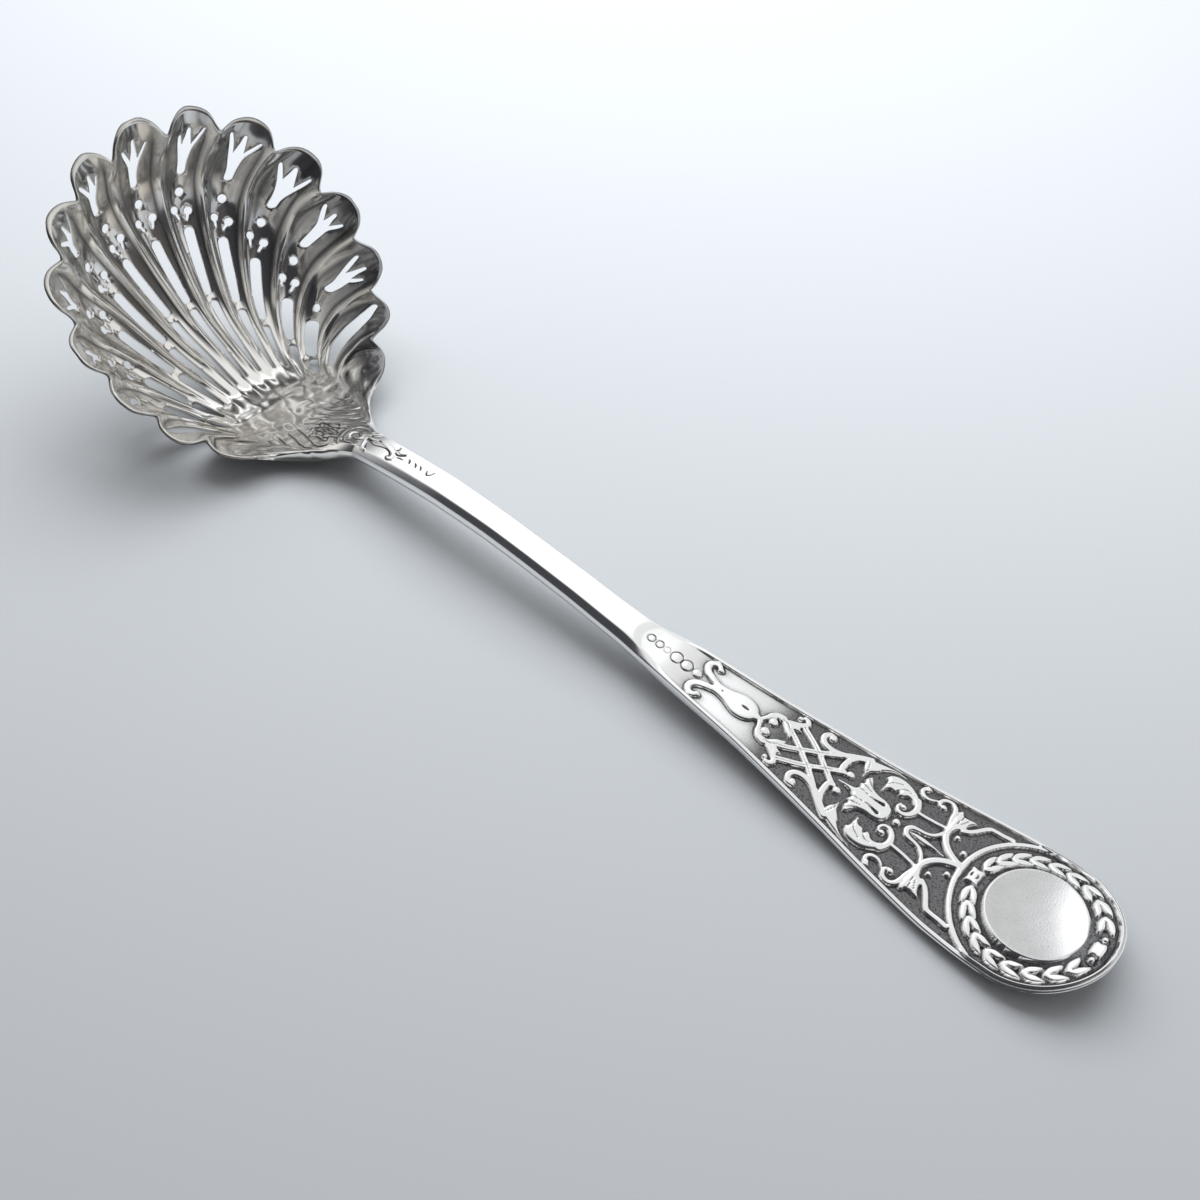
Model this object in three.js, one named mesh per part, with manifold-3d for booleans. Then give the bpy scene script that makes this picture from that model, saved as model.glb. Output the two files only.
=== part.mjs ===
// Sifter spoon: a pierced, fluted shell bowl, a bevelled stem and a broad relief handle end, joined end to end.
// Millimetres, +Z up, +X from the bowl to the handle end, mirror-symmetric in Y. It lies on its heel and its handle end.
import * as THREE from "three";
import { mergeVertices } from "three/addons/utils/BufferGeometryUtils.js";
import Module from "manifold-3d";

// ---- driving dimensions ----
const X_SHIFT = 70.14; // the drawing's x = 0 is the centre of the cartouche; the part's is the middle of its length
const RIM_TILT = 53.8; // degrees between the rim's plane and the table
const RIM_CENTRE = [-128.87, 19.65]; // x, z
const FLUTE_RISE = 1.0; // a ridge above the channels beside it
const WALL_RIM = 0.65;
const WALL_HEEL = 1.38;
const STEM_START = -103.5;
const STEM_END = -52.5;
const SOLDER = 0.5;
const CARTOUCHE_R = 5.52;
const WREATH_R = 6.86;
const WREATH_HALF = 0.86;
const ARCH_R = 8.75; // the band round the wreath
const STRAP_RISE = 0.38; // the strapwork above the sunk ground

const wasm = await Module();
wasm.setup();

// ---- small helpers ----
const lerp = (a, b, t) => a + (b - a) * t;
const clamp = (x, a, b) => Math.min(b, Math.max(a, x));
const smooth = (a, b, x) => {
  const t = clamp((x - a) / (b - a), 0, 1);
  return t * t * (3 - 2 * t);
};
// monotone cubic through (xs, ys)
function curve(xs, ys) {
  const n = xs.length,
    d = [],
    m = [];
  for (let i = 0; i < n - 1; i++) d.push((ys[i + 1] - ys[i]) / (xs[i + 1] - xs[i]));
  for (let i = 0; i < n; i++) {
    if (i === 0) m.push(d[0]);
    else if (i === n - 1) m.push(d[n - 2]);
    else if (d[i - 1] * d[i] <= 0) m.push(0);
    else {
      const h0 = xs[i] - xs[i - 1],
        h1 = xs[i + 1] - xs[i],
        w1 = 2 * h1 + h0,
        w2 = h1 + 2 * h0;
      m.push((w1 + w2) / (w1 / d[i - 1] + w2 / d[i]));
    }
  }
  return (x) => {
    x = clamp(x, xs[0], xs[n - 1]);
    let i = 0;
    while (i < n - 2 && x > xs[i + 1]) i++;
    const h = xs[i + 1] - xs[i],
      t = (x - xs[i]) / h,
      t2 = t * t,
      t3 = t2 * t;
    return (
      (2 * t3 - 3 * t2 + 1) * ys[i] +
      (t3 - 2 * t2 + t) * h * m[i] +
      (3 * t2 - 2 * t3) * ys[i + 1] +
      (t3 - t2) * h * m[i + 1]
    );
  };
}
const toSolid = (pos, idx) => {
  const g = new THREE.BufferGeometry();
  g.setAttribute("position", new THREE.BufferAttribute(new Float32Array(pos), 3));
  g.setIndex(idx);
  const m = mergeVertices(g, 1e-4);
  return new wasm.Manifold(
    new wasm.Mesh({
      numProp: 3,
      vertProperties: new Float32Array(m.attributes.position.array),
      triVerts: new Uint32Array(m.index.array),
    }),
  );
};
// a skin over rings of points (each ring closed, all of one length), capped at both ends
function loft(rings) {
  const n = rings[0].length,
    pos = [],
    idx = [];
  for (const r of rings) for (const p of r) pos.push(...p);
  for (let i = 0; i < rings.length - 1; i++)
    for (let j = 0; j < n; j++) {
      const a = i * n + j,
        b = i * n + ((j + 1) % n),
        c = a + n,
        d = b + n;
      idx.push(a, b, d, a, d, c);
    }
  const cap = (k, flip) => {
    const c = [0, 0, 0];
    for (let j = 0; j < n; j++) for (let q = 0; q < 3; q++) c[q] += rings[k][j][q] / n;
    const ci = pos.length / 3;
    pos.push(...c);
    for (let j = 0; j < n; j++) {
      const a = k * n + j,
        b = k * n + ((j + 1) % n);
      flip ? idx.push(ci, a, b) : idx.push(ci, b, a);
    }
  };
  cap(0, false);
  cap(rings.length - 1, true);
  let s = toSolid(pos, idx);
  if (s.volume() < 0) {
    for (let i = 0; i < idx.length; i += 3) [idx[i + 1], idx[i + 2]] = [idx[i + 2], idx[i + 1]];
    s = toSolid(pos, idx);
  }
  return s;
}

// ---- the dish: s runs from the stem side to the far lobe in the rim's plane, w is across, depth is below the rim's plane ----
const TAU = (RIM_TILT * Math.PI) / 180;
const ES = [-Math.cos(TAU), 0, Math.sin(TAU)];
const EN = [Math.sin(TAU), 0, Math.cos(TAU)];
const dishWorld = (s, w, depth) => [
  RIM_CENTRE[0] + s * ES[0] - depth * EN[0],
  w,
  RIM_CENTRE[1] + s * ES[2] - depth * EN[2],
];
const wallProfile = curve(
  [0, 5, 9, 12, 14.75, 16.85, 19, 21.5, 22.6, 23.4, 25.5],
  [17.0, 16.7, 15.9, 14.9, 13.6, 11.9, 8.6, 3.9, 2.3, 1.4, -0.4],
);
const rimLift = curve([-25, -6, 1, 8, 25], [2.6, 2.6, 1.7, 0.2, 0]); // the side walls stand higher than the far one
const heelProfile = curve(
  [0, 5, 9, 12.5, 15.5, 17.3, 19.6, 22.25, 25.3, 28.65, 32],
  [17.0, 15.8, 13.9, 11.9, 9.9, 7.5, 2.6, -4.9, -12.2, -18.8, -24.5],
);
function dishDepth(s, w) {
  const m = smooth(0, -8, s) * (1 - smooth(4.5, 13.5, Math.abs(w)));
  const r = Math.hypot(s, w);
  const wall = wallProfile(clamp(r, 0, 25.5)) - rimLift(s) * smooth(17.5, 23, r);
  return wall * (1 - m) + heelProfile(clamp(-s, 0, 32)) * m;
}

// outer edge of the rim, lobe by lobe from the neck to the far lobe: [s, w, depth] from notch to notch
const RIM = [
  [[-21.93, 10.53, -2.31], [-21.08, 12.1, -2.5], [-20.31, 13.31, -2.15], [-19.52, 14.21, -1.65], [-18.78, 14.81, -1.07], [-18.01, 15.05, -0.57], [-17.25, 15.12, -0.05], [-16.4, 15.0, 0.3]],
  [[-16.4, 15.0, 0.3], [-16.0, 15.7, -0.5], [-15.6, 17.2, -1.05], [-14.98, 18.31, -1.25], [-14.48, 18.88, -1.14], [-13.97, 19.18, -1.0], [-13.49, 19.4, -0.74], [-12.99, 19.51, -0.41], [-12.51, 19.5, -0.06], [-12.01, 19.49, 0.35], [-11.4, 19.33, 0.65], [-10.3, 18.95, 0.5]],
  [[-10.3, 18.95, 0.5], [-10.0, 19.4, -0.3], [-9.46, 20.2, -0.85], [-8.6, 21.33, -1.0], [-7.78, 22.0, -0.77], [-6.94, 22.3, -0.61], [-6.12, 22.51, -0.29], [-5.3, 22.45, 0.15], [-4.51, 22.18, 0.95], [-3.7, 21.69, 1.5], [-2.84, 21.2, 1.54]],
  [[-2.84, 21.2, 1.54], [-2.3, 21.6, 0.8], [-1.8, 22.2, 0.45], [-1.11, 22.85, 0.33], [-0.28, 23.35, 0.34], [0.56, 23.57, 0.39], [1.38, 23.63, 0.53], [2.21, 23.57, 0.75], [3.03, 23.28, 1.29], [3.95, 22.4, 1.9], [4.8, 20.7, 2.8]],
  [[4.8, 20.7, 2.8], [5.6, 20.9, 2.5], [6.33, 21.34, 1.95], [7.15, 21.86, 1.58], [7.97, 22.15, 1.4], [8.78, 22.24, 1.4], [9.6, 22.1, 1.6], [10.42, 21.82, 1.83], [11.24, 21.25, 2.09], [12.1, 19.9, 2.6], [12.5, 17.6, 3.0]],
  [[12.5, 17.6, 3.0], [13.1, 17.55, 2.6], [13.68, 17.67, 2.34], [14.48, 17.86, 2.11], [15.27, 17.87, 1.85], [16.07, 17.67, 1.8], [16.87, 17.27, 1.87], [17.68, 16.58, 2.09], [18.3, 15.3, 2.35], [18.5, 13.8, 2.6], [18.0, 11.6, 2.75]],
  [[18.0, 11.6, 2.75], [18.9, 11.38, 2.6], [19.6, 11.28, 2.4], [20.3, 11.15, 2.2], [20.95, 10.85, 2.04], [21.63, 10.23, 2.0], [22.3, 9.2, 1.95], [22.65, 8.05, 1.95], [22.4, 6.9, 2.1], [21.83, 5.9, 2.3], [21.15, 5.1, 2.7], [20.35, 4.45, 3.2]],
  [[20.35, 4.45, 3.2], [21.13, 3.95, 3.0], [21.88, 3.55, 2.61], [22.69, 2.92, 2.12], [23.46, 2.0, 1.92], [23.88, 1.2, 1.83], [24.04, 0, 1.8]],
];
// ridges between the flutes, from the heel to the notches of the rim: [s, w]; they end on the rim
const RIDGES = [
  [[-20.1, 8.7], [-20.2, 10.4], [-20.3, 11.8], [-20.4, 12.7]],
  [[-19.4, 8.2], [-18.6, 9.2], [-17.6, 10.7], [-16.7, 12.3], [-16.2, 13.6], [-16.2, 14.85]],
  [[-18.5, 7.7], [-17, 8.8], [-15.2, 10.5], [-13.6, 12.2], [-12.3, 13.8], [-11.3, 15.4], [-10.8, 16.6], [-10.4, 17.6], [-10, 18.6]],
  [[-17.7, 7.0], [-15, 8.3], [-12.5, 10], [-10, 11.9], [-8, 13.6], [-6.7, 14.9], [-5.6, 16.2], [-4.6, 17.5], [-3.9, 18.7], [-3.4, 19.6], [-2.9, 20.7]],
  [[-17, 5.8], [-13.5, 7.1], [-10, 8.9], [-7, 10.5], [-4.5, 12], [-2.7, 13.2], [-0.7, 14.6], [1.2, 16.2], [3, 17.6], [4.2, 18.8], [4.8, 20.2]],
  [[-16.5, 4.4], [-13.5, 5], [-10, 6.1], [-5.5, 7.5], [-1.6, 8.9], [2.8, 10.8], [6.4, 12.75], [8.9, 14.15], [10.3, 15], [11.4, 16], [12.27, 17.25]],
  [[-16, 2.75], [-13, 3.1], [-9, 3.75], [-5, 4.5], [-1.3, 5.35], [2.7, 6.25], [6.9, 7.35], [10.7, 8.45], [13.6, 9.2], [16.1, 10.2], [17.83, 11.38]],
  [[-15.6, 0.95], [-12, 1], [-8, 1.1], [-3.5, 1.3], [1, 1.65], [5.2, 2.1], [9.5, 2.6], [12.8, 3.1], [15.7, 3.5], [18.3, 3.95], [20.4, 4.4]],
];
// middles of the channels, out to the tips of the lobes
const CHANNELS = [
  [[-19.75, 8.5], [-19, 10], [-18.5, 11.6], [-18.6, 13], [-19, 13.9]],
  [[-18.95, 7.9], [-16.6, 9.9], [-14.9, 12.3], [-13.8, 14.6], [-13.6, 16.6], [-14.4, 18.5]],
  [[-18.1, 7.35], [-14, 10.5], [-11.2, 12.9], [-9.4, 14.9], [-7.9, 16.9], [-7.3, 19.5], [-7.25, 22.3]],
  [[-17.35, 6.4], [-11, 9.8], [-6.8, 12.4], [-4, 14.3], [-1.9, 16.2], [-0.5, 18], [0.6, 20.4], [1.15, 23.45]],
  [[-16.75, 5.1], [-10, 7.4], [-4, 9.6], [0.5, 11.8], [3.2, 13.4], [5, 14.9], [6.6, 16.6], [8.6, 19.2], [9.7, 21.4]],
  [[-16.25, 3.6], [-10.5, 4.9], [-4.9, 6.2], [0.5, 7.7], [5.2, 9.2], [7.9, 10.25], [10.4, 11.5], [13, 13], [15.4, 14.8], [17, 16.2]],
  [[-15.8, 1.85], [-9, 2.5], [-1.9, 3.5], [4.5, 4.4], [8.8, 5.05], [11.5, 5.6], [13.8, 6.2], [16.5, 7], [19.5, 8], [21.7, 9]],
  [[-15.6, 0], [-8, 0], [0, 0], [6, 0], [9.5, 0], [12.5, 0], [14.75, 0], [17.5, 0], [20.5, 0], [23.5, 0]],
];
// the neck's outline, from the stem to the corner of the first lobe: x, half width, z of the edge, z on the axis
const NECK = [
  [-104, 2.72, 5.6, 6.35],
  [-106.2, 3.55, 5.0, 5.95],
  [-108.2, 4.62, 4.5, 5.4],
  [-109.9, 5.65, 4.0, 4.85],
  [-111.6, 6.95, 3.45, 4.3],
  [-113.2, 8.5, 3.1, 3.7],
];
// how thick the neck is on its axis and at its edge, against x
const neckAxis = curve([-120, -115.3, -112, -108.4, -104], [1.38, 1.65, 2.1, 2.55, 2.8]);
const neckEdge = curve([-122, -118, -115.3, -113.7, -112, -108.4, -106.2, -104], [0.8, 0.95, 1.1, 1.35, 1.65, 1.95, 2.1, 2.3]);
const NV = 16; // steps along a ridge
const NECK_V = 6; // of them, steps along the neck
const SUB = 5; // strips across one lobe

// resamples [s, w, depth] points to n even steps of length, with the spline through them
function resample(points, n) {
  const c = new THREE.CatmullRomCurve3(points.map((p) => new THREE.Vector3(...p)), false, "centripetal");
  c.arcLengthDivisions = 400;
  return c.getSpacedPoints(n).map((p) => [p.x, p.y, p.z]);
}
// the inner edge of the rim, from a point of its outer edge
const inside = ([s, w, d]) => {
  const q = 1 - (0.9 * WALL_RIM) / Math.hypot(s, w);
  return dishWorld(s * q, w * q, d - 0.4 * WALL_RIM);
};
const spline3 = (points, n) => {
  const c = new THREE.CatmullRomCurve3(points.map((p) => new THREE.Vector3(...p)), false, "centripetal");
  c.arcLengthDivisions = 400;
  return c.getSpacedPoints(n).map((p) => [p.x, p.y, p.z]);
};
// a rim point of the table nearest to where a ridge or channel ends
const rimPoints = RIM.flat();
const inner = (s, w) => {
  const p = rimPoints.reduce((a, b) => (Math.hypot(b[0] - s, b[1] - w) < Math.hypot(a[0] - s, a[1] - w) ? b : a));
  return inside(p);
};
function fluteLine(row, rise, frac) {
  // frac: place across the neck, 1 at its edge, 0 on the axis
  const last = row.length - 1;
  const out = [];
  row.forEach(([s, w], i) => {
    const t = i / last;
    if (i < last) out.push(dishWorld(s, w, dishDepth(s, w) - rise * smooth(0, 0.45, t) * (1 - 0.15 * t)));
    else out.push(inner(s, w));
  });
  return out;
}
function splitLine(row, rise, frac, edge) {
  if (edge) return resample([...NECK.map(([x, hw, ze]) => [x, hw, ze]), inside(RIM[0][0])], NV);
  const neck = NECK.slice(0, 4).map(([x, hw, ze, zc]) => [x, hw * frac, zc + (ze - zc) * frac * frac]);
  const dish = fluteLine(row, rise, frac);
  const a = resample([...neck, dish[0]], NECK_V),
    b = resample(dish, NV - NECK_V);
  return [...a, ...b.slice(1)];
}
const mirror = (l) => l.map(([x, y, z]) => [x, -y, z]);
const ridgeLines = [],
  channelLines = [];
RIDGES.forEach((r, k) => ridgeLines.push(splitLine(r, FLUTE_RISE, 1 - k / 7.5, k === 0)));
for (let k = 7; k >= 0; k--) ridgeLines.push(mirror(ridgeLines[k]));
CHANNELS.forEach((c, k) => channelLines.push(splitLine(c, 0, 1 - (k + 0.5) / 7.5, false)));
for (let k = 6; k >= 0; k--) channelLines.push(mirror(channelLines[k]));

// inner face of the bowl as a grid: columns across the lobes, rows from the neck to the rim
const columns = [];
for (let j = 0; j < 15; j++)
  for (let i = 0; i < SUB + (j === 14 ? 1 : 0); i++) {
    const f = (1 - Math.cos((Math.PI * i) / SUB)) / 2;
    const col = [];
    for (let v = 0; v <= NV; v++) {
      const a = ridgeLines[j][v],
        b = ridgeLines[j + 1][v],
        c = channelLines[j][v];
      const e = lerp(1, 0.5, smooth(0.8, 1, v / NV));
      const q = Math.pow(Math.max(0, 1 - (2 * f - 1) ** 2), e);
      col.push([0, 1, 2].map((k) => lerp(a[k], b[k], f) + (c[k] - (a[k] + b[k]) / 2) * q));
    }
    columns.push(col);
  }
const NC = columns.length;
// the rim's own outline, evenly along each lobe, outer and inner edge
const rimOuter = [],
  rimInner = [];
{
  const lobes = [...RIM, ...RIM.slice(0, 7).reverse().map((l) => [...l].reverse().map(([s, w, d]) => [s, -w, d]))];
  const far = RIM[7];
  lobes[7] = [...far, ...far.slice(0, -1).reverse().map(([s, w, d]) => [s, -w, d])];
  lobes.forEach((l, k) => {
    const even = spline3(l, SUB);
    for (let i = 0; i < SUB + (k === 14 ? 1 : 0); i++) {
      rimOuter.push(dishWorld(...even[i]));
      rimInner.push(inside(even[i]));
    }
  });
}
columns.forEach((col, i) => {
  const d = [0, 1, 2].map((k) => rimInner[i][k] - col[NV][k]);
  for (let v = 0; v <= NV; v++) {
    const q = smooth(0.72, 1, v / NV);
    for (let k = 0; k < 3; k++) col[v][k] += d[k] * q;
  }
});
function normals(cols) {
  return cols.map((col, i) =>
    col.map((p, j) => {
      const du = new THREE.Vector3(...cols[Math.min(NC - 1, i + 1)][j]).sub(new THREE.Vector3(...cols[Math.max(0, i - 1)][j]));
      const dv = new THREE.Vector3(...col[Math.min(NV, j + 1)]).sub(new THREE.Vector3(...col[Math.max(0, j - 1)]));
      return du.cross(dv).normalize();
    }),
  );
}
const nrm = normals(columns);
const outwards = nrm[Math.floor(NC / 2)][NV - 4].dot(new THREE.Vector3(...EN)) > 0 ? -1 : 1;
const outer = columns.map((col, i) =>
  col.map((p, j) => {
    const far = Math.abs(i / (NC - 1) - 0.5) * 2; // 0 on the axis, 1 at the neck's edge
    const inNeck = smooth(-121, -114.5, p[0]); // 1 on the neck, 0 in the dish
    const wall = lerp(WALL_HEEL, WALL_RIM, smooth(0.35, 0.8, j / NV));
    const t = lerp(wall, lerp(neckAxis(p[0]), neckEdge(p[0]), far ** 5), inNeck);
    const n = nrm[i][j].clone().multiplyScalar(outwards);
    n.lerp(new THREE.Vector3(0, 0, -1), inNeck).normalize(); // the neck is cut straight down at its edges
    const q = [p[0] + n.x * t, p[1] + n.y * t, p[2] + n.z * t];
    if (j === 0) q[0] = p[0]; // the joint face is upright
    return j === NV ? rimOuter[i] : q;
  }),
);
function bowlShell() {
  const pos = [],
    idx = [];
  const at = (i, j, o) => (i * (NV + 1) + j) * 2 + o;
  for (let i = 0; i < NC; i++)
    for (let j = 0; j <= NV; j++) pos.push(...columns[i][j], ...outer[i][j]);
  const quad = (a, b, c, d) => idx.push(a, b, c, a, c, d);
  for (let i = 0; i < NC - 1; i++)
    for (let j = 0; j < NV; j++) {
      quad(at(i, j, 0), at(i + 1, j, 0), at(i + 1, j + 1, 0), at(i, j + 1, 0));
      quad(at(i, j, 1), at(i, j + 1, 1), at(i + 1, j + 1, 1), at(i + 1, j, 1));
    }
  for (let i = 0; i < NC - 1; i++) {
    quad(at(i, 0, 0), at(i, 0, 1), at(i + 1, 0, 1), at(i + 1, 0, 0));
    quad(at(i, NV, 0), at(i + 1, NV, 0), at(i + 1, NV, 1), at(i, NV, 1));
  }
  for (let j = 0; j < NV; j++) {
    quad(at(0, j, 0), at(0, j + 1, 0), at(0, j + 1, 1), at(0, j, 1));
    quad(at(NC - 1, j, 0), at(NC - 1, j, 1), at(NC - 1, j + 1, 1), at(NC - 1, j + 1, 0));
  }
  let s = toSolid(pos, idx);
  if (s.volume() < 0) {
    for (let i = 0; i < idx.length; i += 3) [idx[i + 1], idx[i + 2]] = [idx[i + 2], idx[i + 1]];
    s = toSolid(pos, idx);
  }
  return s;
}

// ---- piercing: outlines in [s, w], pushed through the wall square to it ----
function surfaceNormal(s, w) {
  const e = 0.3;
  const ds = (dishDepth(s + e, w) - dishDepth(s - e, w)) / (2 * e),
    dw = (dishDepth(s, w + e) - dishDepth(s, w - e)) / (2 * e);
  // height = -depth over (s, w); n = (ds, dw, 1) in (ES, Y, EN)
  const l = Math.hypot(ds, dw, 1);
  return [ds / l, dw / l, 1 / l];
}
function cutter(outline, up = 1.6, down = 2.6) {
  const area = THREE.ShapeUtils.area(outline.map(([a, b]) => new THREE.Vector2(a, b)));
  const o = area < 0 ? [...outline].reverse() : outline;
  const c = o.reduce((m, p) => [m[0] + p[0] / o.length, m[1] + p[1] / o.length], [0, 0]);
  const n = surfaceNormal(c[0], c[1]); // one direction for the whole cut
  const place = ([s, w], h) => {
    const d = dishDepth(s, w);
    const q = [s + n[0] * h, w + n[1] * h, -d + n[2] * h];
    return [
      RIM_CENTRE[0] + q[0] * ES[0] + q[2] * EN[0],
      q[1],
      RIM_CENTRE[1] + q[0] * ES[2] + q[2] * EN[2],
    ];
  };
  const m = o.length,
    pos = [],
    idx = [];
  for (const p of o) pos.push(...place(p, up));
  for (const p of o) pos.push(...place(p, -down));
  const tri = THREE.ShapeUtils.triangulateShape(o.map(([a, b]) => new THREE.Vector2(a, b)), []);
  for (const [a, b, c2] of tri) {
    idx.push(a, b, c2);
    idx.push(a + m, c2 + m, b + m);
  }
  for (let i = 0; i < m; i++) {
    const j = (i + 1) % m;
    idx.push(i, i + m, j + m, i, j + m, j);
  }
  let s = toSolid(pos, idx);
  if (s.volume() < 0) {
    for (let i = 0; i < idx.length; i += 3) [idx[i + 1], idx[i + 2]] = [idx[i + 2], idx[i + 1]];
    s = toSolid(pos, idx);
  }
  return s;
}
const disc = (c, r, n = 8) =>
  Array.from({ length: n }, (_, i) => [c[0] + r * Math.cos((2 * Math.PI * i) / n), c[1] + r * Math.sin((2 * Math.PI * i) / n)]);
// a slot along a polyline with its own half width at each point, rounded at both ends
function slot(points, half) {
  const left = [],
    right = [];
  points.forEach((p, i) => {
    const a = points[Math.max(0, i - 1)],
      b = points[Math.min(points.length - 1, i + 1)];
    const l = Math.hypot(b[0] - a[0], b[1] - a[1]),
      t = [(b[0] - a[0]) / l, (b[1] - a[1]) / l];
    const h = Array.isArray(half) ? half[i] : half;
    if (i === 0) left.push([p[0] - t[0] * h * 0.8, p[1] - t[1] * h * 0.8]);
    const e = i === 0 || i === points.length - 1 ? 0.8 : 1;
    left.push([p[0] - t[1] * h * e, p[1] + t[0] * h * e]);
    right.push([p[0] + t[1] * h * e, p[1] - t[0] * h * e]);
    if (i === points.length - 1) left.push([p[0] + t[0] * h * 0.8, p[1] + t[1] * h * 0.8]);
  });
  return [...left, ...right.reverse()];
}
// one lobe's piercing: a three-pronged cut at the rim, a hole, a pair of holes, a long slot and a tapering slot
const PIERCE = [
  { tri: [[16.9, 0], [21.6, -0.2], [20.8, 1.9], [20.8, -1.9]], hole: [14.7, 0], pair: [[12.2, 1.15], [12.2, -1.15]], long: [[9.0, 0], [4.6, 0], [0.2, 0]], tail: [[-1.6, 0], [-7, 0], [-12.6, 0]] },
  { tri: [[15.8, 6.9], [20.1, 8.1], [19.1, 10.1], [19.7, 6.6]], hole: [13.8, 6.2], pair: [[11.8, 4.5], [11.1, 6.45]], long: [[8.5, 5.2], [4.3, 4.45], [-0.0, 3.7]], tail: [[-1.9, 3.45], [-7.2, 2.75], [-12.8, 2.15]] },
  { tri: [[12.3, 12.5], [16.0, 14.9], [14.1, 16.3], [17.1, 13.3]], hole: [10.4, 11.4], pair: [[8.6, 9.5], [7.2, 11.0]], long: [[5.1, 9.1], [0.6, 7.75], [-3.0, 6.7]], tail: [[-4.9, 6.15], [-9, 5.2], [-13.4, 4.2]] },
  { tri: [[6.3, 16.4], [9.3, 19.6], [7.0, 20.3], [10.8, 18.4]], hole: [5.0, 14.9], pair: [[4.1, 12.9], [2.3, 14.0]], long: [[0.5, 11.75], [-3.4, 9.9], [-6.8, 8.4]], tail: [[-8.5, 7.75], [-11.3, 6.8], [-14.2, 5.9]] },
  { tri: [[-0.7, 17.7], [1.3, 21.3], [-0.6, 21.2], [3.0, 20.9]], hole: [-1.9, 16.2], pair: [[-3.3, 13.9], [-4.8, 14.8]], long: [[-6.7, 12.45], [-9.2, 10.9], [-11.2, 9.75]], tail: [[-12.6, 9.0], [-14.2, 8.1], [-15.6, 7.35]] },
  { tri: [[-7.8, 16.9], [-7.2, 20.4], [-8.6, 19.4], [-5.4, 20.5]], hole: [-9.3, 14.9], pair: null, long: [[-11.1, 13.0], [-13, 11.4], [-14.6, 10.2]], tail: [[-15.5, 9.5], [-16.4, 8.75], [-17.1, 8.2]] },
];
function trident([base, mid, left, right]) {
  // an outline around a rounded foot, swelling body and three pointed prongs
  const ax = [mid[0] - base[0], mid[1] - base[1]],
    l = Math.hypot(...ax),
    t = [ax[0] / l, ax[1] / l],
    n = [-t[1], t[0]];
  const at = (u, v) => [base[0] + t[0] * u * l + n[0] * v, base[1] + t[1] * u * l + n[1] * v];
  const side = (p) => (p[0] - base[0]) * n[0] + (p[1] - base[1]) * n[1];
  const [pa, pb] = side(left) > side(right) ? [left, right] : [right, left];
  return [at(-0.04, 0), at(0.0, -0.48), at(0.3, -0.72), at(0.52, -0.95), pb, at(0.62, -0.42), mid, at(0.62, 0.42), pa, at(0.52, 0.95), at(0.3, 0.72), at(0.0, 0.48)];
}
const cuts = [];
PIERCE.forEach((q, j) => {
  for (const m of j === 0 ? [1] : [1, -1]) {
    const f = (p) => [p[0], p[1] * m];
    cuts.push(cutter(trident(q.tri.map(f))));
    cuts.push(cutter(disc(f(q.hole), 0.62)));
    for (const p of q.pair || []) cuts.push(cutter(disc(f(p), 0.58, 6)));
    cuts.push(cutter(slot(q.long.map(f), [0.72, 0.66, 0.55])));
    cuts.push(cutter(slot(q.tail.map(f), [0.55, 0.42, 0.2])));
  }
});
for (const m of [1, -1])
  cuts.push(cutter(slot([[-12.5, 18.3], [-13.1, 16.9], [-13.9, 14.9], [-15.1, 12.6], [-16.9, 10.1]].map((p) => [p[0], p[1] * m]), [0.3, 0.5, 0.55, 0.5, 0.25])));

const halfSpace = (z) => {
  // a block under the height z
  const g = new THREE.BoxGeometry(400, 200, 40);
  g.translate(0, 0, z - 20);
  return toSolid(g.attributes.position.array, [...g.index.array]);
};
let bowlSolid = bowlShell();
for (const c of cuts) bowlSolid = bowlSolid.subtract(c);
bowlSolid = bowlSolid.subtract(halfSpace(0));

// ---- stem and handle end ----
const topZ = curve(
  [-104, -99, -93, -87, -80, -73, -69, -64, -59, -56, -52, -48, -44, -38, -32, -28, -24, -17, -9.7, -5, 0, 4, 8.9],
  [6.35, 7.1, 7.7, 8.05, 7.95, 7.5, 7.15, 6.7, 6.1, 5.8, 5.3, 4.9, 4.6, 4.2, 3.7, 3.4, 3.0, 2.45, 2.3, 2.5, 2.9, 3.55, 4.7],
);
const halfW = curve(
  [-104, -99, -93, -87, -80, -73, -66, -60, -56, -52, -48, -43.5, -36.5, -33.8, -27.2, -23.3, -14.8, -12.6, -7.7, -3, -0.5],
  [2.72, 2.65, 2.55, 2.5, 2.42, 2.4, 2.45, 2.55, 2.66, 3.0, 3.4, 3.8, 4.42, 4.75, 5.64, 6.18, 7.53, 7.88, 8.57, 8.92, 8.98],
);
const thick = curve([-104, -99, -93, -80, -66, -56, -48, -38, -28, -20, -14, -5, 0, 8.9], [2.8, 2.95, 3.1, 3.1, 3.0, 2.9, 2.75, 2.5, 2.4, 2.35, 2.48, 2.15, 2.0, 1.6]);
// one half of a section, from the top of the axis round to the underside; the stem has a flat top, bevels and a rounded belly
function stemHalf(x) {
  const w = halfW(x),
    z = topZ(x),
    h = thick(x);
  return [[0, z], [0.33 * w, z], [0.62 * w, z], [0.69 * w, z - 0.02 * h], [0.95 * w, z - 0.31 * h], [w, z - 0.5 * h], [0.95 * w, z - 0.7 * h], [0.75 * w, z - 0.89 * h], [0.4 * w, z - h], [0, z - h]];
}
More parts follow.
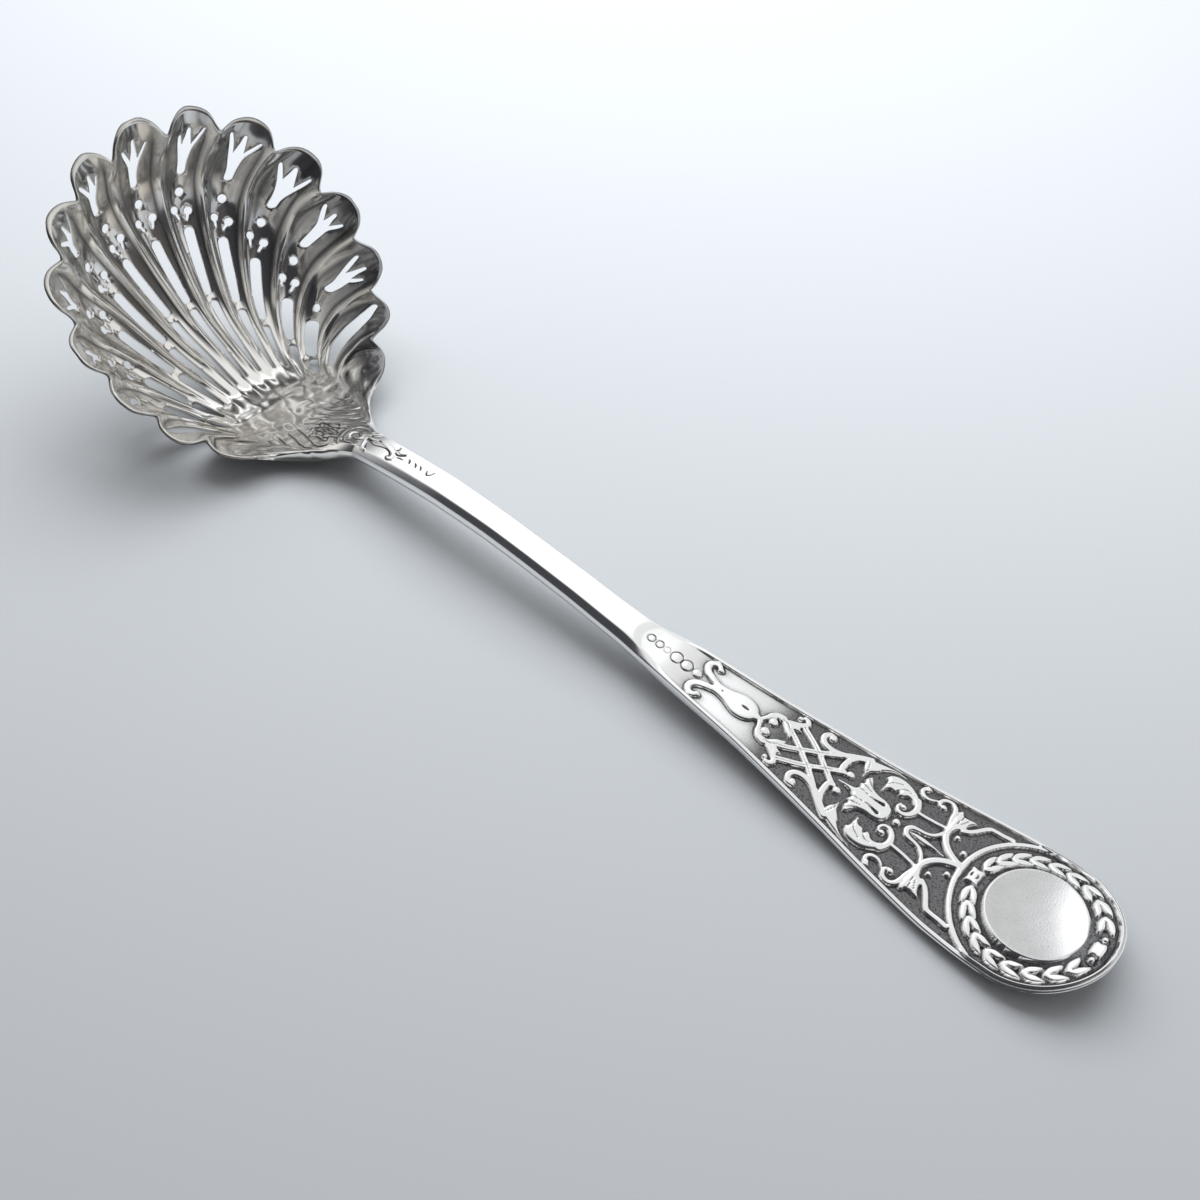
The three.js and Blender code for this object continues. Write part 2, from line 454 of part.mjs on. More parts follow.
// the handle end: a crowned ground sunk inside a raised border
const END_R = 8.98;
const outlineW = (x) => (x < -0.5 ? halfW(x) : Math.sqrt(Math.max(0, END_R ** 2 - (x + 0.5) ** 2 * (END_R / 9.4) ** 2)));
const crown = (x, y) => topZ(clamp(x, -104, 8.9)) - 0.011 * y * y;
const BORDER = 0.55,
  SINK = 0.42;
function endHalf(x) {
  const w = outlineW(x);
  const b = Math.min(BORDER, w * 0.3);
  const g = SINK * smooth(-50, -44, x); // the border dies out into the plain stem
  const bottom = (y) => topZ(clamp(x, -104, 8.9)) - thick(clamp(x, -104, 8.9)) + 0.75 * (Math.abs(y) / Math.max(w, 0.1)) ** 4;
  return [
    [0, crown(x, 0) - g],
    [w * 0.5, crown(x, w * 0.5) - g],
    [w - b - 0.25, crown(x, w - b) - g],
    [w - b, crown(x, w - b)],
    [w - 0.12, crown(x, w)],
    [w, crown(x, w) - 0.25],
    [w, bottom(w) + 0.15],
    [w * 0.8, bottom(w * 0.8)],
    [w * 0.4, bottom(w * 0.4)],
    [0, bottom(0)],
  ];
}
function sectionRing(x) {
  const k = smooth(-56, -46, x);
  const a = stemHalf(Math.min(x, -0.5)),
    b = endHalf(x);
  const half = a.map(([y, z], i) => [lerp(y, b[i][0], k), lerp(z, b[i][1], k)]);
  const right = half.map(([y, z]) => [x, y, z]);
  const left = half.slice(1, -1).reverse().map(([y, z]) => [x, -y, z]);
  return [...right, ...left];
}
const span = (a, b, n) => Array.from({ length: n + 1 }, (_, i) => lerp(a, b, i / n));
const stemSolid = loft(span(STEM_START, STEM_END, 16).map(sectionRing));
// the two solder wafers fill the joints
const wafer = (x0, x1) => loft([sectionRing(x0), sectionRing(x1)]);
const bowlSolder = wafer(STEM_START - SOLDER, STEM_START);
const endSolder = wafer(STEM_END, STEM_END + SOLDER);
const endXs = [...span(STEM_END + SOLDER, -9, 18), ...[-7, -5, -3, -1, 0.7, 2.3, 3.8, 5.0, 6.0, 6.9, 7.6, 8.15, 8.55, 8.8]];
let endSolid = loft(endXs.map(sectionRing));
// raised ornament: ring sections turned about the cartouche's centre and set on the tilted end
const endTilt = Math.atan2(topZ(4) - topZ(-4), 8);
function onEnd(profile, seg = 40) {
  const g = new THREE.LatheGeometry(profile.map(([r, z]) => new THREE.Vector2(r, z)), seg);
  g.rotateX(Math.PI / 2);
  g.rotateY(-endTilt);
  g.translate(0, 0, topZ(0) - SINK);
  let s = toSolid(g.attributes.position.array, [...g.index.array]);
  if (s.volume() < 0) {
    const idx = [...g.index.array];
    for (let i = 0; i < idx.length; i += 3) [idx[i + 1], idx[i + 2]] = [idx[i + 2], idx[i + 1]];
    s = toSolid(g.attributes.position.array, idx);
  }
  return s;
}
const wreath = onEnd([[WREATH_R - WREATH_HALF, -0.4], [WREATH_R + WREATH_HALF, -0.4], [WREATH_R + WREATH_HALF - 0.08, 0.12], [WREATH_R, 0.42], [WREATH_R - WREATH_HALF + 0.08, 0.12], [WREATH_R - WREATH_HALF, -0.4]], 36);
const cartouche = onEnd([[0, -0.4], [CARTOUCHE_R, -0.4], [CARTOUCHE_R, 0.4], [CARTOUCHE_R - 0.3, 0.5], [CARTOUCHE_R * 0.5, 0.2], [0, 0.1]], 36);
// strapwork: outlines in plan, cut out of a sheet that follows the ground; [x, y, half width] along each stroke
const STROKES = [
  [[-43.0, 0.5, 0.4], [-44.6, 1.05, 0.44], [-45.2, 2.2, 0.42], [-44.2, 2.68, 0.32]],
  [[-36.0, 0.28, 0.28], [-35.45, 1.4, 0.36], [-34.2, 2.02, 0.42], [-32.8, 2.2, 0.42], [-31.8, 2.9, 0.34], [-32.1, 3.8, 0.3], [-32.9, 3.7, 0.3]],
  [[-33.4, 0.9, 0.3], [-30.3, 0, 0.33], [-28.5, -1.17, 0.33], [-26.6, -2.7, 0.38]],
  [[-31.7, 2.78, 0.33], [-30, 1.98, 0.33], [-28.5, 1.17, 0.33], [-26.8, 0, 0.33], [-25.3, -1.0, 0.36]],
  [[-28.5, 4.1, 0.4], [-29.42, 3.5, 0.4], [-28.6, 2.62, 0.4], [-27.0, 2.68, 0.4], [-25.3, 3.62, 0.46], [-23.0, 5.0, 0.5], [-20.4, 5.7, 0.25]],
  [[-25.0, 3.7, 0.4], [-25.52, 2.0, 0.38], [-24.95, 1.1, 0.4], [-24.2, 1.4, 0.45]],
  [[-23.2, 2.6, 0.2], [-23.2, 3.6, 0.5], [-22.9, 4.4, 0.6]],
  [[-21.0, 3.3, 0.4], [-20.2, 4.2, 0.9], [-18.8, 4.3, 1.0], [-17.2, 4.1, 0.7], [-16.35, 2.9, 0.42], [-16.6, 1.75, 0.36], [-17.8, 1.32, 0.27], [-18.05, 2.2, 0.2]],
  [[-16.6, 6.3, 0.2], [-17.25, 5.7, 0.27], [-16.2, 5.05, 0.25], [-15.4, 5.5, 0.14]],
  [[-14.6, 5.3, 0.3], [-14.9, 6.0, 0.27], [-13.8, 6.45, 0.28], [-12.95, 5.5, 0.34], [-12.5, 3.8, 0.4], [-12.3, 2.6, 0.35]],
  [[-12.2, 6.1, 0.35], [-11.9, 4.9, 0.8], [-12.1, 3.2, 0.4]],
  [[-11.6, 4.0, 0.3], [-10.5, 4.5, 0.28], [-9.4, 6.0, 0.29], [-8.5, 6.6, 0.29], [-6.4, 6.9, 0.3]],
  [[-16.2, 2.68, 0.22], [-12.6, 3.15, 0.22]],
  [[-12.35, 3.3, 0.34], [-11.9, 1.75, 0.42], [-10.6, 0.62, 0.42], [-9.0, 0.1, 0.4]],
  [[-15.6, 0.3, 0.3], [-14.0, 0.9, 0.26], [-12.8, 1.75, 0.26], [-12.5, 2.4, 0.25]],
];
const LEAVES = [
  // outlines of the right half, from the axis back to the axis
  [[-44.4, 0], [-44.2, 0.7], [-43, 0.9], [-41, 1.02], [-39.2, 1.6], [-37.7, 1.42], [-36.7, 0.6], [-35.6, 0.4], [-35.6, 0]],
  [[-24.9, 0], [-23, 0.5], [-22.9, 1.3], [-22.6, 2.7], [-22, 2.75], [-21.1, 1.7], [-19.2, 1.45], [-18.2, 0.7], [-18.1, 0]],
  [[-15.6, 0], [-14.4, 0.33], [-12.5, 0.26], [-11, 0]],
  [[-8.0, 0], [-7.95, 1.0], [-6.4, 1.0], [-6.4, 0]],
];
const BALLS = [
  [-47.1, 0, 0.68], [-45.55, 0, 0.62], [-43.75, 2.3, 0.46], [-34.82, 0.84, 0.66], [-32.82, 3.48, 0.4], [-28.58, 3.9, 0.5], [-17.12, 0, 0.52], [-17.62, 2.16, 0.4],
  [-16.88, 6.08, 0.34], [-14.32, 5.32, 0.44], [-11.05, 2.95, 0.38], [-9.55, 1.68, 0.42],
];
function prism(points) {
  const shape = new THREE.Shape(points.map(([x, y]) => new THREE.Vector2(x, y)));
  const g = mergeVertices(new THREE.ExtrudeGeometry(shape, { depth: 8, bevelEnabled: false }).deleteAttribute("normal").deleteAttribute("uv"), 1e-4);
  return toSolid(g.attributes.position.array, [...g.index.array]);
}
function band(stroke, side) {
  const path = new THREE.CatmullRomCurve3(stroke.map(([x, y, h]) => new THREE.Vector3(x, y * side, h)), false, "centripetal");
  const n = Math.max(2, Math.round((stroke.length - 1) * 2.5));
  const p = path.getPoints(n);
  const left = [],
    right = [];
  for (let i = 0; i <= n; i++) {
    const a = p[Math.max(0, i - 1)],
      b = p[Math.min(n, i + 1)];
    const l = Math.hypot(b.x - a.x, b.y - a.y),
      tx = (b.x - a.x) / l,
      ty = (b.y - a.y) / l,
      h = p[i].z;
    left.push([p[i].x - ty * h, p[i].y + tx * h]);
    right.push([p[i].x + ty * h, p[i].y - tx * h]);
    if (i === 0) left.unshift([p[0].x - tx * h * 0.8, p[0].y - ty * h * 0.8]);
    if (i === n) left.push([p[n].x + tx * h * 0.8, p[n].y + ty * h * 0.8]);
  }
  return prism([...left, ...right.reverse()]);
}
const disk = (x, y, r, n = 8) => prism(span(0, 1 - 1 / n, n - 1).map((t) => [x + r * Math.cos(2 * Math.PI * t), y + r * Math.sin(2 * Math.PI * t)]));
const arch = (from, to, n) => {
  const ring = (r) => span(from, to, n).map((a) => [r * Math.cos((a * Math.PI) / 180), r * Math.sin((a * Math.PI) / 180)]);
  return prism([...ring(ARCH_R + 0.3), ...ring(ARCH_R - 0.3).reverse()]);
};
const straps = [];
for (const side of [1, -1]) {
  for (const s of STROKES) straps.push(band(s, side));
  for (const [x, y, r] of BALLS) if (side === 1 || y > 0) straps.push(disk(x, y * side, r));
}
for (const half of LEAVES) straps.push(prism([...half, ...half.slice(1, -1).reverse().map(([x, y]) => [x, -y])]));
straps.push(arch(108, 252, 30));
const cut = straps.reduce((a, b) => a.add(b));
const sheetXs = [...span(-49, -9, 14), -6.5, -4, -2, 0];
const sheet = loft(
  sheetXs.map((x) => {
    const w = outlineW(x) - BORDER - 0.05;
    const ground = (y) => crown(x, y) - SINK * smooth(-50, -44, x);
    const rise = STRAP_RISE * smooth(-50, -44, x);
    const ys = span(-1, 1, 6).map((t) => t * w);
    return [...ys.map((y) => [x, y, ground(y) + rise]), ...ys.slice().reverse().map((y) => [x, y, ground(y) - 0.25])];
  }),
);
endSolid = endSolid.add(sheet.intersect(cut));
endSolid = endSolid.add(wreath).add(cartouche);
endSolid = endSolid.subtract(halfSpace(0));

// ---- the group ----
const silver = (name, solid, color, roughness) => {
  const m = solid.getMesh();
  const g = new THREE.BufferGeometry();
  g.setAttribute("position", new THREE.BufferAttribute(new Float32Array(m.vertProperties), 3));
  g.setIndex(new THREE.BufferAttribute(new Uint32Array(m.triVerts), 1));
  const flat = g.toNonIndexed();
  flat.translate(X_SHIFT, 0, 0);
  flat.computeVertexNormals();
  const mesh = new THREE.Mesh(flat, new THREE.MeshStandardMaterial({ color, roughness, metalness: 1 }));
  mesh.name = name;
  return mesh;
};
const group = new THREE.Group();
group.name = "sifter_spoon";
group.add(silver("bowl", bowlSolid, 0xcfcdc6, 0.18));
group.add(silver("bowl_solder", bowlSolder, 0xd6d5d0, 0.3));
group.add(silver("stem", stemSolid, 0xdcdcd9, 0.12));
group.add(silver("terminal_solder", endSolder, 0xd6d5d0, 0.3));
group.add(silver("terminal", endSolid, 0xc4c5c3, 0.28));
export default group;
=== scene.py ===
"""A silver sifter spoon: pierced and fluted shell bowl, bevelled stem, broad relief handle end."""
import math

import bpy
import numpy as np
from mathutils import Matrix, Vector
from mathutils.bvhtree import BVHTree
from mathutils.geometry import delaunay_2d_cdt


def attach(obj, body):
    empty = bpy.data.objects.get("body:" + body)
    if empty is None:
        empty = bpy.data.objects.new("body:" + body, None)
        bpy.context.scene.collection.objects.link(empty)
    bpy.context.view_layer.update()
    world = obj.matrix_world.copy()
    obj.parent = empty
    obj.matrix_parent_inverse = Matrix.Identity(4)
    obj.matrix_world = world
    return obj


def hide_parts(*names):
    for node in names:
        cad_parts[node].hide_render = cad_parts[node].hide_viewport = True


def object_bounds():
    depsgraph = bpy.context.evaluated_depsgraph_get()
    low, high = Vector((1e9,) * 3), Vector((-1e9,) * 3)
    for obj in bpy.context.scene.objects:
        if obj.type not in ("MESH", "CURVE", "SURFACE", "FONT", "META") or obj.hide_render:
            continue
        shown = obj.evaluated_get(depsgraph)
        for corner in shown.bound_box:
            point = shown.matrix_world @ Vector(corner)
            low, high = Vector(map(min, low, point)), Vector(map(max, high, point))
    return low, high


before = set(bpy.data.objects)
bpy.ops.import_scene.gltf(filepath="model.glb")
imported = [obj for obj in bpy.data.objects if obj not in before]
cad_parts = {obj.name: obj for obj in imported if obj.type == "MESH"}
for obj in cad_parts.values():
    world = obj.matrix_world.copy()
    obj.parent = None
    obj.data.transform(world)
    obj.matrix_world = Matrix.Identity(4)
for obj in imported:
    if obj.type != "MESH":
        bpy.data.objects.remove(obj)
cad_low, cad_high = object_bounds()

X_SHIFT = 70.14  # millimetres from the drawing's origin, the middle of the cartouche, to the frame's
LOW = np.array(cad_low) * 1000 - [X_SHIFT, 0, 0]
HIGH = np.array(cad_high) * 1000 - [X_SHIFT, 0, 0]


# ---------------------------------------------------------------- helpers
def smooth(a, b, x):
    t = np.clip((np.asarray(x, float) - a) / (b - a), 0, 1)
    return t * t * (3 - 2 * t)


def curve(xs, ys):
    """A monotone cubic through (xs, ys)."""
    xs, ys = np.array(xs, float), np.array(ys, float)
    h = np.diff(xs)
    d = np.diff(ys) / h
    m = np.zeros(len(xs))
    m[0], m[-1] = d[0], d[-1]
    for i in range(1, len(xs) - 1):
        if d[i - 1] * d[i] > 0:
            w1, w2 = 2 * h[i] + h[i - 1], h[i] + 2 * h[i - 1]
            m[i] = (w1 + w2) / (w1 / d[i - 1] + w2 / d[i])

    def f(x):
        x = np.clip(np.asarray(x, float), xs[0], xs[-1])
        i = np.clip(np.searchsorted(xs, x, side="right") - 1, 0, len(xs) - 2)
        t = (x - xs[i]) / h[i]
        t2, t3 = t * t, t * t * t
        return (
            (2 * t3 - 3 * t2 + 1) * ys[i]
            + (t3 - 2 * t2 + t) * h[i] * m[i]
            + (3 * t2 - 2 * t3) * ys[i + 1]
            + (t3 - t2) * h[i] * m[i + 1]
        )

    return f


def spline(points, per=16, closed=False):
    """A dense line through points, by a centripetal spline."""
    p = np.array(points, float)
    n = len(p)
    if closed:
        q = np.vstack([p[-1], p, p[0], p[1]])
        count = n
    else:
        q = np.vstack([2 * p[0] - p[1], p, 2 * p[-1] - p[-2]])
        count = n - 1
    out = []
    t = np.arange(per)[:, None] / per
    for i in range(count):
        a, b, c, d = q[i : i + 4]
        da, db, dc = (max(np.linalg.norm(v), 1e-6) ** 0.5 for v in (b - a, c - b, d - c))
        m1 = ((b - a) / da - (c - a) / (da + db) + (c - b) / db) * db
        m2 = ((c - b) / db - (d - b) / (db + dc) + (d - c) / dc) * db
        out.append(b + m1 * t + (-3 * b + 3 * c - 2 * m1 - m2) * t**2 + (2 * b - 2 * c + m1 + m2) * t**3)
    if not closed:
        out.append(p[-1:])
    return np.vstack(out)


def at_lengths(line, fractions):
    """Points at these fractions of a polyline's length."""
    step = np.r_[0, np.cumsum(np.linalg.norm(np.diff(line, axis=0), axis=1))]
    want = np.asarray(fractions) * step[-1]
    return np.stack([np.interp(want, step, line[:, k]) for k in range(line.shape[1])], -1)


def soften(a, passes, axis=0):
    """Blurs an array along an axis with a small kernel, ends kept."""
    a = np.moveaxis(np.array(a, float), axis, 0)
    for _ in range(passes):
        a[1:-1] = (a[:-2] + 2 * a[1:-1] + a[2:]) / 4
    return np.moveaxis(a, 0, axis)


def in_polygon(px, py, poly):
    """Which points lie inside a polygon."""
    inside = np.zeros(px.shape, bool)
    n = len(poly)
    for i in range(n):
        x1, y1 = poly[i]
        x2, y2 = poly[(i + 1) % n]
        if y1 == y2:
            continue
        cross = (y1 > py) != (y2 > py)
        inside ^= cross & (px < (x2 - x1) * (py - y1) / (y2 - y1) + x1)
    return inside


def mesh_object(name, points, faces, slot, nodes, material, layers=None, flat=0):
    """A shaded mesh in the frame, from points in drawing millimetres and a list of face arrays; the last few faces may be flat."""
    p = np.clip(np.asarray(points, float), LOW, HIGH)
    co = (p + [X_SHIFT, 0, 0]) * 0.001
    sets = faces if isinstance(faces, list) else [faces]
    sizes = np.concatenate([np.full(len(f), f.shape[1]) for f in sets])
    loops = np.concatenate([f.ravel() for f in sets]).astype(np.int32)
    me = bpy.data.meshes.new(name)
    me.vertices.add(len(co))
    me.vertices.foreach_set("co", co.astype(np.float32).ravel())
    me.loops.add(len(loops))
    me.loops.foreach_set("vertex_index", loops)
    me.polygons.add(len(sizes))
    starts = np.r_[0, np.cumsum(sizes)[:-1]].astype(np.int32)
    me.polygons.foreach_set("loop_start", starts)
    rounded = np.ones(len(sizes), bool)
    rounded[len(sizes) - flat :] = False
    me.polygons.foreach_set("use_smooth", rounded)
    me.update(calc_edges=True)
    for key, values in (layers or {}).items():
        layer = me.attributes.new(key, "FLOAT", "POINT")
        layer.data.foreach_set("value", np.asarray(values, np.float32))
    me.validate(clean_customdata=False)
    o = bpy.data.objects.new(name, me)
    bpy.context.scene.collection.objects.link(o)
    o.data.materials.append(material)
    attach(o, "root")
    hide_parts(*nodes)
    return o


# ---------------------------------------------------------------- materials
def nodes_of(material):
    material.use_nodes = True
    tree = material.node_tree
    tree.nodes.clear()
    out = tree.nodes.new("ShaderNodeOutputMaterial")
    bsdf = tree.nodes.new("ShaderNodeBsdfPrincipled")
    tree.links.new(bsdf.outputs["BSDF"], out.inputs["Surface"])
    return tree, bsdf


def silver(name, clean, dark, rough, rough_spread, haze, scratch, ripple=0.0, pits=0.0, cast=(0.80, 0.77, 0.70), cast_amount=0.25, with_film_and_shade=False):
    """Polished silver with a dark oxide in its recesses, and painted shade on the handle end's disc. The mesh's oxide
    layer says where, from 0 to 1.
    """
    m = bpy.data.materials.new(name)
    t, b = nodes_of(m)
    n, link = t.nodes, t.links
    b.inputs["Metallic"].default_value = 1.0

    coords = n.new("ShaderNodeTexCoord")
    oxide_and_shade = n.new("ShaderNodeAttribute")
    oxide_and_shade.attribute_name = "oxide_and_shade"

    def noise(scale, detail=4.0, roughness=0.55, stretch=None):
        q = n.new("ShaderNodeTexNoise")
        q.inputs["Scale"].default_value = scale
        q.inputs["Detail"].default_value = detail
        q.inputs["Roughness"].default_value = roughness
        if stretch:
            mp = n.new("ShaderNodeMapping")
            mp.inputs["Scale"].default_value = stretch
            link.new(coords.outputs["Object"], mp.inputs["Vector"])
            link.new(mp.outputs["Vector"], q.inputs["Vector"])
        else:
            link.new(coords.outputs["Object"], q.inputs["Vector"])
        return q

    def ranged(source, a, c, lo, hi):
        r = n.new("ShaderNodeMapRange")
        r.inputs["From Min"].default_value, r.inputs["From Max"].default_value = a, c
        r.inputs["To Min"].default_value, r.inputs["To Max"].default_value = lo, hi
        link.new(source, r.inputs["Value"])
        return r.outputs["Result"]

    def maths(op, x, y):
        q = n.new("ShaderNodeMath")
        q.operation = op
        q.use_clamp = op in ("ADD", "MULTIPLY", "SUBTRACT")
        for k, v in enumerate((x, y)):
            if isinstance(v, (int, float)):
                q.inputs[k].default_value = v
            else:
                link.new(v, q.inputs[k])
        return q.outputs[0]

    def mixed(factor, one, two):
        q = n.new("ShaderNodeMix")
        q.data_type = "RGBA"
        for key, v in (("A", one), ("B", two)):
            socket = next(s for s in q.inputs if s.name == key and s.type == "RGBA")
            if isinstance(v, tuple):
                socket.default_value = (*v, 1)
            else:
                link.new(v, socket)
        link.new(factor, q.inputs[0])
        return next(s for s in q.outputs if s.type == "RGBA")

    broad = noise(90, 3)
    fine = noise(5600, 3)
    # a thin warm tarnish in broad patches, and a darker tint where the mesh's tarnish layer says, partly tarnish and
    # partly painted shade
    tint = mixed(ranged(broad.outputs["Fac"], 0.42, 0.72, 0.0, cast_amount), clean, cast)
    if with_film_and_shade:
        bowl_film_and_shade = n.new("ShaderNodeAttribute")
        bowl_film_and_shade.attribute_name = "tarnish_and_painted_shade"
        cloud = noise(160, 4, 0.6)
        # the darker tint is brown towards -y and blue-grey towards +y: a colour painted by side for the shade and
        # reflections there
        split = n.new("ShaderNodeSeparateXYZ")
        link.new(coords.outputs["Object"], split.inputs[0])
        tone = mixed(ranged(split.outputs["Y"], -0.002, 0.010, 0.0, 1.0), (0.21, 0.162, 0.11), (0.100, 0.108, 0.135))
        tint = mixed(maths("MULTIPLY", bowl_film_and_shade.outputs["Fac"], ranged(cloud.outputs["Fac"], 0.3, 0.7, 0.72, 1.0)), tint, tone)
        satin = n.new("ShaderNodeAttribute")
        satin.attribute_name = "satin"
    # the oxide breaks up in fine grains
    grain = ranged(fine.outputs["Fac"], 0.35, 0.65, -0.16, 0.16)
    amount = maths("MULTIPLY", maths("ADD", oxide_and_shade.outputs["Fac"], maths("MULTIPLY", grain, maths("MULTIPLY", oxide_and_shade.outputs["Fac"], 1.6))), 1.0)
    link.new(mixed(amount, tint, dark), b.inputs["Base Color"])
    # roughness: hazy patches, and a matt oxide
    patch = ranged(broad.outputs["Fac"], 0.3, 0.7, rough - rough_spread, rough + rough_spread)
    if with_film_and_shade:
        patch = maths("ADD", patch, satin.outputs["Fac"])
    link.new(maths("ADD", patch, maths("MULTIPLY", oxide_and_shade.outputs["Fac"], haze)), b.inputs["Roughness"])
    # fine wiping marks along the spoon, faint hammering and pitting
    lines = noise(900, 2, 0.6, (0.06, 1.0, 1.0))
    bump = n.new("ShaderNodeBump")
    bump.inputs["Strength"].default_value = scratch
    bump.inputs["Distance"].default_value = 0.00002
    link.new(lines.outputs["Fac"], bump.inputs["Height"])
    last = bump
    if ripple:
        wave = noise(420, 2, 0.45)
        second = n.new("ShaderNodeBump")
        second.inputs["Strength"].default_value = ripple
        second.inputs["Distance"].default_value = 0.00008
        link.new(wave.outputs["Fac"], second.inputs["Height"])
        link.new(last.outputs["Normal"], second.inputs["Normal"])
        last = second
    if pits:
        pit = n.new("ShaderNodeTexVoronoi")
        pit.inputs["Scale"].default_value = 5000
        link.new(coords.outputs["Object"], pit.inputs["Vector"])
        third = n.new("ShaderNodeBump")
        third.inputs["Distance"].default_value = 0.00005
        link.new(maths("MULTIPLY", oxide_and_shade.outputs["Fac"], pits), third.inputs["Strength"])
        link.new(pit.outputs["Distance"], third.inputs["Height"])
        link.new(last.outputs["Normal"], third.inputs["Normal"])
        last = third
    link.new(last.outputs["Normal"], b.inputs["Normal"])
    return m


bowl_silver = silver("bowl_silver", (0.928, 0.915, 0.882), (0.045, 0.042, 0.044), 0.10, 0.02, 0.30, 0.02, ripple=0.012, cast=(0.74, 0.69, 0.60), cast_amount=0.40, with_film_and_shade=True)
stem_silver = silver("stem_silver", (0.93, 0.93, 0.925), (0.08, 0.078, 0.08), 0.13, 0.03, 0.30, 0.14, ripple=0.05, cast_amount=0.08)
end_silver = silver("terminal_silver", (0.92, 0.92, 0.915), (0.055, 0.054, 0.057), 0.125, 0.025, 0.28, 0.08, ripple=0.04, pits=0.5, cast_amount=0.10)
joint_silver = silver("solder_silver", (0.91, 0.91, 0.90), (0.08, 0.078, 0.08), 0.2, 0.04, 0.30, 0.10, cast_amount=0.08)

# ---------------------------------------------------------------- bowl
TAU = math.radians(53.8)
CENTRE = np.array([-128.87, 0, 19.65])
ES = np.array([-math.cos(TAU), 0, math.sin(TAU)])
EY = np.array([0, 1.0, 0])
EN = np.array([math.sin(TAU), 0, math.cos(TAU)])
FLUTE_RISE, WALL_RIM, WALL_HEEL = 1.0, 0.47, 1.38


def dish_world(s, w, d):
    s, w, d = (np.asarray(v, float)[..., None] for v in (s, w, d))
    return CENTRE + s * ES + w * EY - d * EN


wall_profile = curve([0, 5, 9, 12, 14.75, 16.85, 19, 21.5, 22.6, 23.4, 25.5], [17.0, 16.7, 15.9, 14.9, 13.6, 11.9, 8.6, 3.9, 2.3, 1.4, -0.4])
rim_lift = curve([-25, -6, 1, 8, 25], [2.6, 2.6, 1.7, 0.2, 0])
heel_profile = curve([0, 5, 9, 12.5, 15.5, 17.3, 19.6, 22.25, 25.3, 28.65, 32], [17.0, 15.8, 13.9, 11.9, 9.9, 7.5, 2.6, -4.9, -12.2, -18.8, -24.5])


def dish_depth(s, w):
    s, w = np.asarray(s, float), np.asarray(w, float)
    m = smooth(0, -8, s) * (1 - smooth(4.5, 13.5, np.abs(w)))
    r = np.hypot(s, w)
    wall = wall_profile(np.clip(r, 0, 25.5)) - rim_lift(s) * smooth(17.5, 23, r)
    return wall * (1 - m) + heel_profile(np.clip(-s, 0, 32)) * m


RIM = [
    [[-21.93, 10.53, -2.31], [-21.08, 12.1, -2.5], [-20.31, 13.31, -2.15], [-19.52, 14.21, -1.65], [-18.78, 14.81, -1.07], [-18.01, 15.05, -0.57], [-17.25, 15.12, -0.05], [-16.4, 15.0, 0.3]],
    [[-16.4, 15.0, 0.3], [-16.0, 15.7, -0.5], [-15.6, 17.2, -1.05], [-14.98, 18.31, -1.25], [-14.48, 18.88, -1.14], [-13.97, 19.18, -1.0], [-13.49, 19.4, -0.74], [-12.99, 19.51, -0.41], [-12.51, 19.5, -0.06], [-12.01, 19.49, 0.35], [-11.4, 19.33, 0.65], [-10.3, 18.95, 0.5]],
    [[-10.3, 18.95, 0.5], [-10.0, 19.4, -0.3], [-9.46, 20.2, -0.85], [-8.6, 21.33, -1.0], [-7.78, 22.0, -0.77], [-6.94, 22.3, -0.61], [-6.12, 22.51, -0.29], [-5.3, 22.45, 0.15], [-4.51, 22.18, 0.95], [-3.7, 21.69, 1.5], [-2.84, 21.2, 1.54]],
    [[-2.84, 21.2, 1.54], [-2.3, 21.6, 0.8], [-1.8, 22.2, 0.45], [-1.11, 22.85, 0.33], [-0.28, 23.35, 0.34], [0.56, 23.57, 0.39], [1.38, 23.63, 0.53], [2.21, 23.57, 0.75], [3.03, 23.28, 1.29], [3.95, 22.4, 1.9], [4.8, 20.7, 2.8]],
    [[4.8, 20.7, 2.8], [5.6, 20.9, 2.5], [6.33, 21.34, 1.95], [7.15, 21.86, 1.58], [7.97, 22.15, 1.4], [8.78, 22.24, 1.4], [9.6, 22.1, 1.6], [10.42, 21.82, 1.83], [11.24, 21.25, 2.09], [12.1, 19.9, 2.6], [12.5, 17.6, 3.0]],
    [[12.5, 17.6, 3.0], [13.1, 17.55, 2.6], [13.68, 17.67, 2.34], [14.48, 17.86, 2.11], [15.27, 17.87, 1.85], [16.07, 17.67, 1.8], [16.87, 17.27, 1.87], [17.68, 16.58, 2.09], [18.3, 15.3, 2.35], [18.5, 13.8, 2.6], [18.0, 11.6, 2.75]],
    [[18.0, 11.6, 2.75], [18.9, 11.38, 2.6], [19.6, 11.28, 2.4], [20.3, 11.15, 2.2], [20.95, 10.85, 2.04], [21.63, 10.23, 2.0], [22.3, 9.2, 1.95], [22.65, 8.05, 1.95], [22.4, 6.9, 2.1], [21.83, 5.9, 2.3], [21.15, 5.1, 2.7], [20.35, 4.45, 3.2]],
    [[20.35, 4.45, 3.2], [21.13, 3.95, 3.0], [21.88, 3.55, 2.61], [22.69, 2.92, 2.12], [23.46, 2.0, 1.92], [23.88, 1.2, 1.83], [24.04, 0, 1.8]],
]
